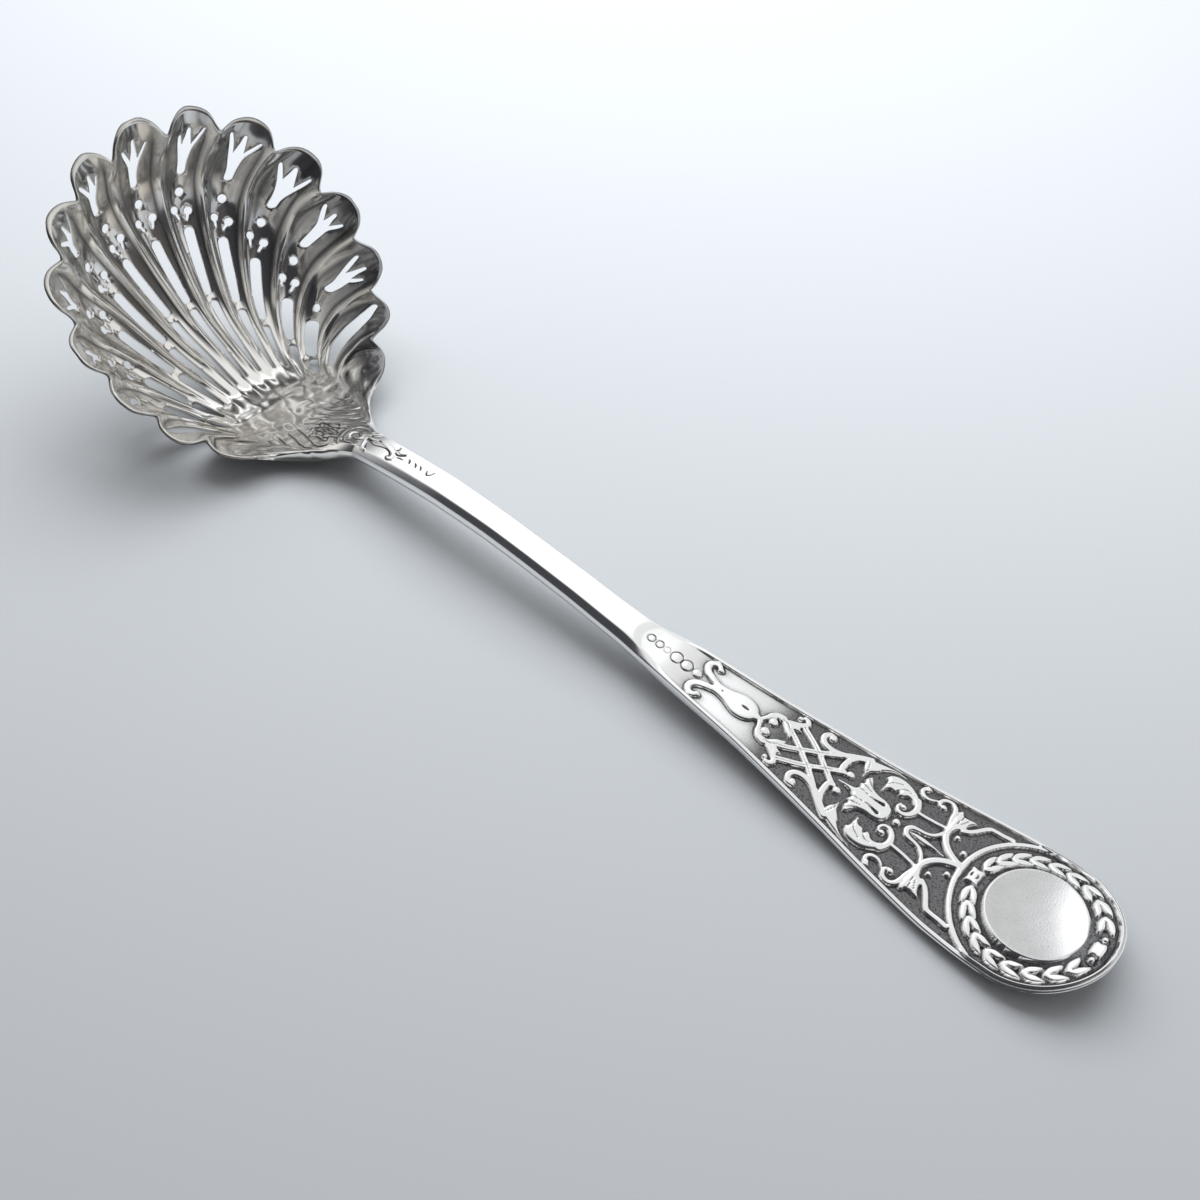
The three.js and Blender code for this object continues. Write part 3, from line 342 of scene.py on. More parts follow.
RIDGES = [
    [[-20.1, 8.7], [-20.2, 10.4], [-20.3, 11.8], [-20.4, 12.7]],
    [[-19.4, 8.2], [-18.6, 9.2], [-17.6, 10.7], [-16.7, 12.3], [-16.2, 13.6], [-16.2, 14.85]],
    [[-18.5, 7.7], [-17, 8.8], [-15.2, 10.5], [-13.6, 12.2], [-12.3, 13.8], [-11.3, 15.4], [-10.8, 16.6], [-10.4, 17.6], [-10, 18.6]],
    [[-17.7, 7.0], [-15, 8.3], [-12.5, 10], [-10, 11.9], [-8, 13.6], [-6.7, 14.9], [-5.6, 16.2], [-4.6, 17.5], [-3.9, 18.7], [-3.4, 19.6], [-2.9, 20.7]],
    [[-17, 5.8], [-13.5, 7.1], [-10, 8.9], [-7, 10.5], [-4.5, 12], [-2.7, 13.2], [-0.7, 14.6], [1.2, 16.2], [3, 17.6], [4.2, 18.8], [4.8, 20.2]],
    [[-16.5, 4.4], [-13.5, 5], [-10, 6.1], [-5.5, 7.5], [-1.6, 8.9], [2.8, 10.8], [6.4, 12.75], [8.9, 14.15], [10.3, 15], [11.4, 16], [12.27, 17.25]],
    [[-16, 2.75], [-13, 3.1], [-9, 3.75], [-5, 4.5], [-1.3, 5.35], [2.7, 6.25], [6.9, 7.35], [10.7, 8.45], [13.6, 9.2], [16.1, 10.2], [17.83, 11.38]],
    [[-15.6, 0.95], [-12, 1], [-8, 1.1], [-3.5, 1.3], [1, 1.65], [5.2, 2.1], [9.5, 2.6], [12.8, 3.1], [15.7, 3.5], [18.3, 3.95], [20.4, 4.4]],
]
CHANNELS = [
    [[-19.75, 8.5], [-19, 10], [-18.5, 11.6], [-18.6, 13], [-19, 13.9]],
    [[-18.95, 7.9], [-16.6, 9.9], [-14.9, 12.3], [-13.8, 14.6], [-13.6, 16.6], [-14.4, 18.5]],
    [[-18.1, 7.35], [-14, 10.5], [-11.2, 12.9], [-9.4, 14.9], [-7.9, 16.9], [-7.3, 19.5], [-7.25, 22.3]],
    [[-17.35, 6.4], [-11, 9.8], [-6.8, 12.4], [-4, 14.3], [-1.9, 16.2], [-0.5, 18], [0.6, 20.4], [1.15, 23.45]],
    [[-16.75, 5.1], [-10, 7.4], [-4, 9.6], [0.5, 11.8], [3.2, 13.4], [5, 14.9], [6.6, 16.6], [8.6, 19.2], [9.7, 21.4]],
    [[-16.25, 3.6], [-10.5, 4.9], [-4.9, 6.2], [0.5, 7.7], [5.2, 9.2], [7.9, 10.25], [10.4, 11.5], [13, 13], [15.4, 14.8], [17, 16.2]],
    [[-15.8, 1.85], [-9, 2.5], [-1.9, 3.5], [4.5, 4.4], [8.8, 5.05], [11.5, 5.6], [13.8, 6.2], [16.5, 7], [19.5, 8], [21.7, 9]],
    [[-15.6, 0], [-8, 0], [0, 0], [6, 0], [9.5, 0], [12.5, 0], [14.75, 0], [17.5, 0], [20.5, 0], [23.5, 0]],
]
NECK = [[-104, 2.72, 5.6, 6.35], [-106.2, 3.55, 5.0, 5.95], [-108.2, 4.62, 4.5, 5.4], [-109.9, 5.65, 4.0, 4.85], [-111.6, 6.95, 3.45, 4.3], [-113.2, 8.5, 3.1, 3.7]]
neck_axis = curve([-120, -115.3, -112, -108.4, -104], [1.38, 1.65, 2.1, 2.55, 2.8])
neck_edge = curve([-122, -118, -115.3, -113.7, -112, -108.4, -106.2, -104], [0.8, 0.95, 1.1, 1.35, 1.65, 1.95, 2.1, 2.3])

SUB, NN, ND = 17, 84, 86  # strips across a lobe, steps along the neck, steps along the dish
V = np.r_[np.linspace(0, 6 / 16, NN + 1), np.linspace(6 / 16, 1, ND + 1)[1:]]


def inside(p):
    """The inner edge of the rim, from points of its outer edge."""
    p = np.asarray(p, float)
    q = 1 - (0.9 * WALL_RIM) / np.hypot(p[..., 0], p[..., 1])
    return dish_world(p[..., 0] * q, p[..., 1] * q, p[..., 2] - 0.4 * WALL_RIM)


rim_points = np.vstack([np.array(l, float) for l in RIM])


def flute_line(row, rise):
    last = len(row) - 1
    out = []
    for i, (s, w) in enumerate(row):
        t = i / last
        if i < last:
            out.append(dish_world(s, w, dish_depth(s, w) - rise * smooth(0, 0.45, t) * (1 - 0.15 * t)))
        else:
            k = np.argmin(np.hypot(rim_points[:, 0] - s, rim_points[:, 1] - w))
            out.append(inside(rim_points[k]))
    return np.array(out)


def whole_line(row, rise, frac, edge):
    if edge:
        line = spline([[x, hw, ze] for x, hw, ze, _ in NECK] + [inside(RIM[0][0]).tolist()], 40)
        return at_lengths(line, V)
    neck = [[x, hw * frac, zc + (ze - zc) * frac * frac] for x, hw, ze, zc in NECK[:4]]
    line = spline(np.vstack([neck, flute_line(row, rise)]), 40)
    k = 4 * 40
    return np.vstack([at_lengths(line[: k + 1], np.linspace(0, 1, NN + 1)), at_lengths(line[k:], np.linspace(0, 1, ND + 1))[1:]])


MIRROR = np.array([1, -1, 1])
ridge_lines = [whole_line(r, FLUTE_RISE, 1 - k / 7.5, k == 0) for k, r in enumerate(RIDGES)]
ridge_lines += [ridge_lines[k] * MIRROR for k in range(7, -1, -1)]
channel_lines = [whole_line(c, 0, 1 - (k + 0.5) / 7.5, False) for k, c in enumerate(CHANNELS)]
channel_lines += [channel_lines[k] * MIRROR for k in range(6, -1, -1)]

e_row = 1 - 0.5 * smooth(0.8, 1, V)
columns = []
for j in range(15):
    for i in range(SUB + (1 if j == 14 else 0)):
        f = (1 - math.cos(math.pi * i / SUB)) / 2
        a, b, c = ridge_lines[j], ridge_lines[j + 1], channel_lines[j]
        q = max(0.0, 1 - (2 * f - 1) ** 2) ** e_row
        columns.append(a + (b - a) * f + (c - (a + b) / 2) * q[:, None])
inner = np.array(columns)  # [column, row, xyz]
NC, NR = inner.shape[:2]

# the rim's own outline, evenly along each lobe
lobes = [np.array(l, float) for l in RIM[:7]]
far = np.array(RIM[7], float)
lobes.append(np.vstack([far, far[:-1][::-1] * MIRROR]))
lobes += [np.array(l, float)[::-1] * MIRROR for l in RIM[:7][::-1]]
rim_table = np.vstack([at_lengths(spline(l, 24), np.arange(SUB + (1 if k == 14 else 0)) / SUB) for k, l in enumerate(lobes)])
rim_outer = dish_world(rim_table[:, 0], rim_table[:, 1], rim_table[:, 2])
rim_inner = inside(rim_table)
shift = (rim_inner - inner[:, -1]) [:, None, :] * smooth(0.72, 1, V)[None, :, None]
inner = inner + shift

# crests are rounded, and the neck runs into the stem's own section
keep = inner.copy()
soft = soften(inner, 2, 0)
w_round = (smooth(0.30, 0.45, V) * (1 - smooth(0.985, 1, V)))[None, :, None]
inner = inner * (1 - w_round) + soft * w_round
plain = soften(inner, 220, 0)
w_plain = (1 - smooth(0.36, 0.465, V))[None, :, None]
inner = inner * (1 - w_plain) + plain * w_plain

top_z = curve(
    [-104, -99, -93, -87, -80, -73, -69, -64, -59, -56, -52, -48, -44, -38, -32, -28, -24, -17, -9.7, -5, 0, 4, 8.9],
    [6.35, 7.1, 7.7, 8.05, 7.95, 7.5, 7.15, 6.7, 6.1, 5.8, 5.3, 4.9, 4.6, 4.2, 3.7, 3.4, 3.0, 2.45, 2.3, 2.5, 2.9, 3.55, 4.7],
)
half_w = curve(
    [-104, -99, -93, -87, -80, -73, -66, -60, -56, -52, -48, -43.5, -36.5, -33.8, -27.2, -23.3, -14.8, -12.6, -7.7, -3, -0.5],
    [2.72, 2.65, 2.55, 2.5, 2.42, 2.4, 2.45, 2.55, 2.66, 3.0, 3.4, 3.8, 4.42, 4.75, 5.64, 6.18, 7.53, 7.88, 8.57, 8.92, 8.98],
)
thick = curve([-104, -99, -93, -80, -66, -56, -48, -38, -28, -20, -14, -5, 0, 8.9], [2.8, 2.95, 3.1, 3.1, 3.0, 2.9, 2.75, 2.5, 2.4, 2.35, 2.48, 2.15, 2.0, 1.6])

roll = (smooth(0.27, 0.36, V) * (1 - smooth(0.40, 0.50, V)))[None, :, None]
inner = inner * (1 - roll) + soften(inner, 45, 1) * roll

du = np.gradient(inner, axis=0)
dv = np.gradient(inner, axis=1)
normal = np.cross(du, dv)
normal /= np.linalg.norm(normal, axis=2, keepdims=True)
if normal[NC // 2, NR - 30] @ EN > 0:
    normal = -normal  # points out of the bowl
n_wall = soften(soften(normal, 14, 0), 3, 1)
n_wall /= np.linalg.norm(n_wall, axis=2, keepdims=True)
across = np.abs(np.arange(NC) / (NC - 1) - 0.5)[:, None] * 2
x_in = inner[..., 0]
in_neck = smooth(-121, -114.5, x_in)
wall = WALL_HEEL + (WALL_RIM - WALL_HEEL) * smooth(0.35, 0.8, V)[None, :]
neck_t = neck_axis(x_in) + (neck_edge(x_in) - neck_axis(x_in)) * across**5
depth_t = wall * (1 - in_neck) + neck_t * in_neck
down = n_wall * (1 - in_neck[..., None]) + np.array([0, 0, -1.0]) * in_neck[..., None]
down /= np.linalg.norm(down, axis=2, keepdims=True)
outer = inner + down * depth_t[..., None]
outer[:, 0, 0] = inner[:, 0, 0]
# the wall's own edge changes gradually between the neck and the first lobes
from_side = np.minimum(np.arange(NC), np.arange(NC)[::-1])[:, None, None]
blend_out = (1 - smooth(4, 16, from_side)) * (smooth(0.02, 0.10, V) * (1 - smooth(0.86, 0.98, V)))[None, :, None]
outer = outer * (1 - blend_out) + soften(outer, 160, 1) * blend_out
# the last of the neck takes on the section of the stem
UPPER = ([0, 0.62, 0.69, 0.95, 1.0], [0, 0, 0.02, 0.31, 0.49])
LOWER = ([0, 0.4, 0.75, 0.95, 1.0], [1, 1, 0.89, 0.7, 0.51])
stem_half = np.interp(inner[..., 0], inner[::-1][0, ::-1, 0], np.abs(inner[0, ::-1, 1]))
axis_z = np.interp(inner[..., 0], inner[NC // 2, ::-1, 0], inner[NC // 2, ::-1, 2])
q_half = np.clip(np.abs(inner[..., 1]) / np.maximum(stem_half, 0.1), 0, 1)
stem_h = 2.8
k_stem = smooth(-109.5, -104.2, inner[..., 0])
inner[..., 2] = inner[..., 2] * (1 - k_stem) + (axis_z - stem_h * np.interp(q_half, *UPPER)) * k_stem
outer[..., 2] = outer[..., 2] * (1 - k_stem) + (axis_z - stem_h * np.interp(q_half, *LOWER)) * k_stem
start = (0.93 - 0.55 * (1 - smooth(3, 20, from_side[:, :, 0])))
near_rim = smooth(0, 1, (V[None, :] - start) / (1 - start))[:, :, None]
outer = outer + (rim_outer - outer[:, -1])[:, None, :] * near_rim
thin = (0.42 * smooth(0.30, 0.48, V) * (1 - smooth(0.90, 0.985, V)))[None, :, None] * smooth(8, 22, from_side)
outer = outer + (inner - outer) * thin


# ---- chasing on the neck and in the root of the bowl
NECK_LINES = [
    [(-104.4, 1.15), (-105.5, 1.45), (-106.6, 1.2), (-107.2, 0.3), (-107.35, -0.6), (-107.0, -1.6), (-106.2, -2.05), (-105.0, -1.9)],
    [(-105.0, 2.2), (-106.4, 2.15), (-107.4, 1.55), (-108.1, 0.4), (-108.2, -0.8), (-107.8, -2.0), (-106.9, -2.8), (-105.7, -2.7)],
    [(-104.3, -0.5), (-105.2, -0.9), (-106.1, -0.7), (-106.2, -0.1), (-105.6, 0.2), (-105.1, -0.1)],
    [(-115.4, -1.7), (-113.6, -0.9), (-112.0, -0.1), (-110.2, 0.8), (-108.8, 1.5), (-108.0, 2.4), (-107.4, 3.2)],
    [(-115.6, -0.6), (-113.8, 0.3), (-112.2, 1.0), (-110.8, 1.7), (-109.6, 2.6), (-108.9, 3.6)],
    [(-115.8, 1.0), (-114.0, 1.5), (-112.4, 2.1), (-111.2, 3.0), (-110.4, 4.2)],
    [(-116.0, 2.4), (-114.4, 2.7), (-113.0, 3.4), (-112.0, 4.4), (-111.4, 5.6)],
    [(-116.2, 3.8), (-114.9, 4.1), (-113.8, 4.9), (-113.0, 6.2)],
    [(-116.6, 5.3), (-115.4, 5.6), (-114.6, 6.6), (-114.1, 7.8)],
    [(-115.2, -3.2), (-113.4, -3.5), (-111.6, -4.0), (-110.2, -4.3), (-109.0, -4.1), (-108.2, -3.4)],
    [(-115.8, -4.5), (-114.0, -4.8), (-112.4, -5.2), (-111.0, -5.3), (-110.0, -5.0)],
    [(-116.2, -5.9), (-114.8, -6.1), (-113.4, -6.5), (-112.4, -6.7)],
    [(-116.8, -7.2), (-115.6, -7.4), (-114.4, -7.9)],
]
# a leafy medallion: outlines one in another, scalloped and open in places
for rx, ry, leaves, at, start_, stop_ in ((0.5, 0.26, 3, 0.4, 0.3, 5.2), (1.1, 0.66, 5, 1.3, 1.1, 6.6), (1.75, 1.15, 6, 0.2, -0.4, 4.4), (1.9, 1.3, 6, 0.2, 4.9, 5.7), (2.55, 1.7, 7, 2.1, 0.9, 3.7), (2.6, 1.8, 7, 2.1, 4.1, 6.9)):
    turn = np.linspace(start_, stop_, 30)
    swell = 1 + 0.17 * np.sin(leaves * turn + at) + 0.06 * np.sin(11 * turn + 2 * at)
    NECK_LINES.append([(-110.8 + k * rx * math.cos(t) + 0.25 * ry * math.sin(t), -1.4 + k * ry * math.sin(t)) for t, k in zip(turn, swell)])


def arcs(x, y, half):
    """Chased lines and a soft wave over the neck: height and how much of a line, over the plan."""
    line = np.zeros(x.shape)
    for pts in NECK_LINES:
        q = spline(pts, 8)
        lo, hi = q.min(0) - 0.3, q.max(0) + 0.3
        sel = np.where((x > lo[0]) & (x < hi[0]) & (y > lo[1]) & (y < hi[1]))
        d = np.hypot(x[sel][:, None] - q[:, 0], y[sel][:, None] - q[:, 1]).min(1)
        line[sel] = np.maximum(line[sel], 1 - smooth(0.02, 0.24, d))
    xx, yy = x + 0.55 * np.sin(0.9 * y + 1.0), y + 0.55 * np.sin(0.8 * x)
    wave = np.sin(1.25 * xx + 0.7 * yy) * np.sin(1.15 * yy - 0.5 * xx + 1.0) + 0.4 * np.sin(2.3 * xx - 1.5 * yy + 0.5) * np.sin(1.8 * yy + 1.1 * xx)
    slim = smooth(-110.5, -105, x)  # the chasing keeps to the top where the neck narrows to the stem
    ends = (1 - smooth(-104.9, -104.1, x)) * (1 - smooth(0.84 - 0.22 * slim, 0.95 - 0.26 * slim, np.abs(y) / half))
    where_ = smooth(-120.6, -118.0, x + 0.12 * np.abs(y)) * ends
    root = smooth(-128.5, -124.5, x + 0.1 * np.abs(y)) * (1 - smooth(-120.5, -117.5, x)) * ends
    slow = np.sin(1.15 * x + 0.6 * y) * np.sin(0.95 * y - 0.5 * x + 0.7) + 0.3 * np.sin(2.0 * x - 1.3 * y + 0.4) * np.sin(0.8 * y + 1.2 * x)
    swell = 0.17 * np.cos(2 * math.pi * (x + 126.6) / 8.6) * np.exp(-(((y + 3.0) / 5.0) ** 2)) * smooth(-130, -127.6, x) * (1 - smooth(-121.5, -118.8, x))
    return (0.070 * wave - 0.14 * line) * where_ + 0.060 * slow * root + swell, line * where_, where_


half_of_neck = np.maximum(stem_half, 1.0)
relief, neck_line, neck_zone = arcs(inner[..., 0], inner[..., 1], half_of_neck)
# the two lobes beside the neck are chased along their length
phase = (np.arange(NC) / SUB)[:, None]
side_lobe = np.minimum(phase, 15 - phase)
lobe_line = sum(np.exp(-(((side_lobe - p0) / 0.030) ** 2)) for p0 in (0.20, 0.36, 0.55, 0.76, 1.18)) * (smooth(0.40, 0.5, V) * (1 - smooth(0.90, 0.96, V)))[None, :]
relief = relief - 0.09 * lobe_line
from_crest = (((np.arange(NC) / SUB + 0.5) % 1) - 0.5)[:, None]  # 0 on a crest, +-0.5 in a channel
on_wall = (smooth(0.46, 0.58, V) * (1 - smooth(0.955, 0.995, V)))[None, :]
relief = relief + (0.13 * np.exp(-((from_crest / 0.13) ** 2)) - 0.07 * np.exp(-(((from_crest - 0.235) / 0.05) ** 2)) - 0.04 * np.exp(-(((from_crest + 0.235) / 0.05) ** 2))) * on_wall
inner = inner - normal * relief[..., None]

# ---- piercings, as outlines in the rim's plane
local = inner - CENTRE
S_GRID, W_GRID = local @ ES, local @ EY
J0 = NN + 6  # the piercings lie beyond this row


def lattice_tree():
    pts = [Vector((S_GRID[i, j], W_GRID[i, j], 0)) for i in range(NC) for j in range(J0, NR)]
    rows = NR - J0
    tris, cells = [], []
    for i in range(NC - 1):
        for j in range(rows - 1):
            a, b, c, d = i * rows + j, (i + 1) * rows + j, (i + 1) * rows + j + 1, i * rows + j + 1
            tris.append((a, b, c)); cells.append((i, j, 0))
            tris.append((a, c, d)); cells.append((i, j, 1))
    return BVHTree.FromPolygons(pts, tris), pts, tris, cells


TREE, TREE_PTS, TREE_TRIS, TREE_CELLS = lattice_tree()


def to_lattice(s, w):
    """(column, row) of a place in the rim's plane."""
    place, _, index, _ = TREE.ray_cast(Vector((s, w, 1)), Vector((0, 0, -1)))
    if index is None:
        place, _, index, _ = TREE.find_nearest(Vector((s, w, 0)))
    a, b, c = (np.array(TREE_PTS[k][:2]) for k in TREE_TRIS[index])
    m = np.array([b - a, c - a]).T
    try:
        p, q = np.linalg.solve(m, np.array(place[:2]) - a)
    except np.linalg.LinAlgError:
        p, q = 0.3, 0.3
    i, j, half = TREE_CELLS[index]
    corners = ((0, 0), (1, 0), (1, 1)) if half == 0 else ((0, 0), (1, 1), (0, 1))
    u = corners[0][0] + p * (corners[1][0] - corners[0][0]) + q * (corners[2][0] - corners[0][0])
    v = corners[0][1] + p * (corners[1][1] - corners[0][1]) + q * (corners[2][1] - corners[0][1])
    return i + u, J0 + j + v


def metric(c):
    """Maps an offset on the surface, in millimetres, to one in the rim's plane."""
    e = 0.4
    g = np.array([
        (dish_depth(c[0] + e, c[1]) - dish_depth(c[0] - e, c[1])) / (2 * e),
        (dish_depth(c[0], c[1] + e) - dish_depth(c[0], c[1] - e)) / (2 * e),
    ])
    l = math.hypot(*g)
    if l < 1e-6:
        return np.eye(2)
    u = g / l
    k = 1 / math.hypot(1, l)
    return np.eye(2) + (k - 1) * np.outer(u, u)


def hole(c, r, n=22):
    m = metric(c)
    a = np.arange(n) * 2 * math.pi / n
    return np.array(c) + np.stack([r * np.cos(a), r * np.sin(a)], -1) @ m.T


def comma(c, r, tail, half=0.2):
    """A round hole with a narrow tail towards the heel."""
    m = metric(c)
    back = np.linalg.inv(m)
    t = back @ (np.array(tail) - np.array(c))
    length = np.linalg.norm(t)
    t = t / length
    n = np.array([-t[1], t[0]])
    a = math.asin(half / r)
    out = []
    for k in range(17):
        f = a + (2 * math.pi - 2 * a) * k / 16
        out.append(t * r * math.cos(f) + n * r * math.sin(f))
    out += [t * (length * 0.6) - n * half * 0.95, t * (length - half * 0.5) - n * half * 0.8, t * length, t * (length - half * 0.5) + n * half * 0.8, t * (length * 0.6) + n * half * 0.95]
    return np.array(c) + np.array(out) @ m.T


def slot(points, half):
    """A slot with its own half width at each point, rounded at both ends."""
    p = spline(points, 6)
    h = np.interp(np.linspace(0, 1, len(p)), np.linspace(0, 1, len(half)), half)
    t = np.gradient(p, axis=0)
    t /= np.linalg.norm(t, axis=1, keepdims=True)
    n = np.stack([-t[:, 1], t[:, 0]], -1)
    left, right = p + n * h[:, None], p - n * h[:, None]
    caps = []
    for q, tt, nn, hh in ((p[0], -t[0], n[0], h[0]), (p[-1], t[-1], n[-1], h[-1])):
        m = metric(q)
        k = np.linalg.norm(m @ tt)
        caps.append([q + tt * hh * k * math.cos(a) + nn * hh * math.sin(a) for a in (1.05, 0.5, 0, -0.5, -1.05)])
    return np.vstack([left, caps[1], right[::-1], caps[0][::-1]]) if True else None


def trident(base, mid, left, right, crotch_l, crotch_r, foot=0.54, prong=0.25):
    """A cut with a rounded foot and three slim prongs."""
    base, mid, left, right, cl, cr = (np.array(v, float) for v in (base, mid, left, right, crotch_l, crotch_r))
    t = mid - base
    t /= np.linalg.norm(t)
    n = np.array([-t[1], t[0]])
    if (left - base) @ n < (right - base) @ n:
        n = -n
    k = np.linalg.norm(metric(base + t) @ t)

    def side(tip, crotch, sign):
        mouth = (crotch - base) @ t
        out = (crotch - base) @ n * sign
        direction = tip - crotch
        direction = direction / np.linalg.norm(direction)
        off = np.array([-direction[1], direction[0]])
        if off @ (n * sign) < 0:
            off = -off
        body = spline(
            [
                base + t * foot * k + n * sign * foot,
                base + t * mouth * 0.45 + n * sign * (foot * 1.12),
                base + t * mouth * 0.82 + n * sign * (out + 0.30),
                crotch + direction * 0.35 * np.linalg.norm(tip - crotch) + off * prong * 1.75,
                crotch + direction * 0.75 * np.linalg.norm(tip - crotch) + off * prong * 1.25,
                tip + off * prong * 0.85 - direction * 0.1,
            ],
            5,
        )
        tipp = [tip + direction * 0.06 + off * prong * 0.4, tip + direction * 0.1, tip + direction * 0.04 - off * prong * 0.5, tip - off * prong * 0.8 - direction * 0.12]
        inner_side = spline([tip - off * prong * 0.8 - direction * 0.12, (tip + crotch) / 2 - off * prong * 0.45, crotch], 4)[1:]
        return np.vstack([body, tipp, inner_side])

    l, r = side(left, cl, 1), side(right, cr, -1)
    ml = spline([cl, (cl + mid) / 2 + n * 0.06, mid + n * prong - t * 0.12], 4)[1:]
    mr = spline([cr, (cr + mid) / 2 - n * 0.06, mid - n * prong - t * 0.12], 4)[1:]
    tip = np.array([mid + n * prong * 0.6 + t * 0.05, mid + t * 0.1, mid - n * prong * 0.6 + t * 0.05])
    foot_arc = [base + t * foot * k * (1 - math.cos(a)) + n * foot * math.sin(a) for a in (-1.2, -0.8, -0.4, 0, 0.4, 0.8, 1.2)]
    return np.vstack([l, ml, tip, mr[::-1], r[::-1], foot_arc])


PIERCE = [
    dict(tri=[(16.8, 0), (21.6, 0), (20.8, 1.9), (20.8, -1.9), (19.7, 0.6), (19.7, -0.6)], hole=(14.7, 0), pair=[((12.4, 1.15), (11.1, 0.62)), ((12.4, -1.15), (11.1, -0.62))], long=[(8.9, 0), (4.6, 0), (0.4, 0)], tail=[(-1.6, 0), (-7, 0), (-12.6, 0)]),
    dict(tri=[(15.7, 6.9), (20.0, 8.1), (19.1, 10.1), (19.7, 6.7), (18.3, 8.2), (18.8, 7.0)], hole=(13.8, 6.2), pair=[((11.9, 4.6), (10.45, 4.85)), ((11.1, 6.4), (10.0, 5.75))], long=[(8.5, 5.35), (4.3, 4.5), (0.1, 3.65)], tail=[(-1.9, 3.5), (-7.2, 2.75), (-12.8, 2.15)]),
    dict(tri=[(12.2, 12.5), (15.9, 14.9), (14.0, 16.3), (17.1, 13.3), (14.2, 14.4), (14.9, 13.3)], hole=(10.4, 11.4), pair=[((8.6, 9.5), (7.35, 9.2)), ((7.2, 11.0), (6.6, 9.9))], long=[(5.1, 9.15), (0.6, 7.75), (-2.8, 6.65)], tail=[(-4.9, 6.25), (-9, 5.2), (-13.4, 4.2)]),
    dict(tri=[(6.2, 16.4), (9.2, 19.6), (6.9, 20.3), (10.8, 18.3), (7.1, 18.7), (8.8, 18.1)], hole=(5.0, 14.9), pair=[((4.1, 12.9), (2.8, 12.35)), ((2.3, 14.0), (1.6, 12.9))], long=[(0.4, 11.75), (-3.4, 9.9), (-6.8, 8.4)], tail=[(-8.5, 7.75), (-11.3, 6.8), (-14.2, 5.9)]),
    dict(tri=[(-0.7, 17.7), (1.2, 21.3), (-0.6, 21.2), (3.0, 21.0), (0.2, 20.3), (1.2, 20.2)], hole=(-1.9, 16.2), pair=[((-3.3, 13.9), (-4.2, 13.2)), ((-4.8, 14.8), (-5.6, 13.7))], long=[(-6.8, 12.5), (-9.2, 10.9), (-11.2, 9.75)], tail=[(-12.6, 9.0), (-14.2, 8.1), (-15.6, 7.35)]),
    dict(tri=[(-7.8, 16.8), (-7.2, 20.4), (-8.5, 19.3), (-5.3, 20.7), (-7.7, 18.9), (-6.7, 19.0)], hole=(-9.35, 14.9), pair=[], long=[(-11.15, 13.05), (-13, 11.4), (-14.6, 10.2)], tail=[(-15.5, 9.5), (-16.4, 8.75), (-17.1, 8.2)]),
]
outlines = []
for j, q in enumerate(PIERCE):
    for m in (1,) if j == 0 else (1, -1):
        f = lambda p, m=m: (p[0], p[1] * m)
        outlines.append(trident(*[f(p) for p in q["tri"]]))
        outlines.append(hole(f(q["hole"]), 0.60))
        for c, tail in q["pair"]:
            outlines.append(comma(f(c), 0.56, f(tail)))
        outlines.append(slot([f(p) for p in q["long"]], [0.68, 0.66, 0.5]))
        outlines.append(slot([f(p) for p in q["tail"]], [0.5, 0.42, 0.2]))
for m in (1, -1):
    outlines.append(slot([(s, w * m) for s, w in ((-12.5, 18.3), (-13.1, 16.9), (-13.9, 14.9), (-15.1, 12.6), (-16.9, 10.1))], [0.3, 0.5, 0.55, 0.5, 0.25]))


def tidy(poly, least=0.05):
    """An outline turned one way, without points that nearly meet."""
    out = [poly[0]]
    for p in poly[1:]:
        if np.hypot(*(p - out[-1])) > least:
            out.append(p)
    if np.hypot(*(out[0] - out[-1])) <= least:
        out.pop()
    out = np.array(out)
    x, y = out.T
    if (x * np.roll(y, -1) - np.roll(x, -1) * y).sum() < 0:
        out = out[::-1]
    return out


def widened(poly, by):
    """The outline moved out by a distance on the surface."""
    t = np.roll(poly, -1, 0) - np.roll(poly, 1, 0)
    t /= np.linalg.norm(t, axis=1, keepdims=True)
    n = np.stack([t[:, 1], -t[:, 0]], -1)
    return np.array([p + metric(p) @ (metric(p) @ nn) * by / max(np.linalg.norm(metric(p) @ nn), 0.3) for p, nn in zip(poly, n)])


EASE = 0.10  # the pierced edges are eased by this much
points, edges = [], []
index_of = {}
blocked = np.zeros((NC, NR), bool)
loops = []
ii, jj = np.meshgrid(np.arange(NC), np.arange(NR), indexing="ij")
for poly in outlines:
    poly = tidy(poly)
    wide = widened(poly, EASE)
    uv = np.array([to_lattice(*p) for p in poly])
    uv_wide = np.array([to_lattice(*p) for p in wide])
    lo, hi = np.floor(uv_wide.min(0)).astype(int) - 1, np.ceil(uv_wide.max(0)).astype(int) + 2
    lo = np.maximum(lo, 0)
    box = (slice(lo[0], hi[0]), slice(lo[1], hi[1]))
    mid = uv_wide.mean(0)
    grown = mid + (uv_wide - mid) * 1.0
    hit = in_polygon(ii[box].astype(float), jj[box].astype(float), grown)
    # lattice points close outside the outline go too
    d = np.min(np.hypot(ii[box][..., None] - uv_wide[:, 0], jj[box][..., None] - uv_wide[:, 1]), -1)
    blocked[box] |= hit | (d < 0.3)
    loops.append((uv, uv_wide))

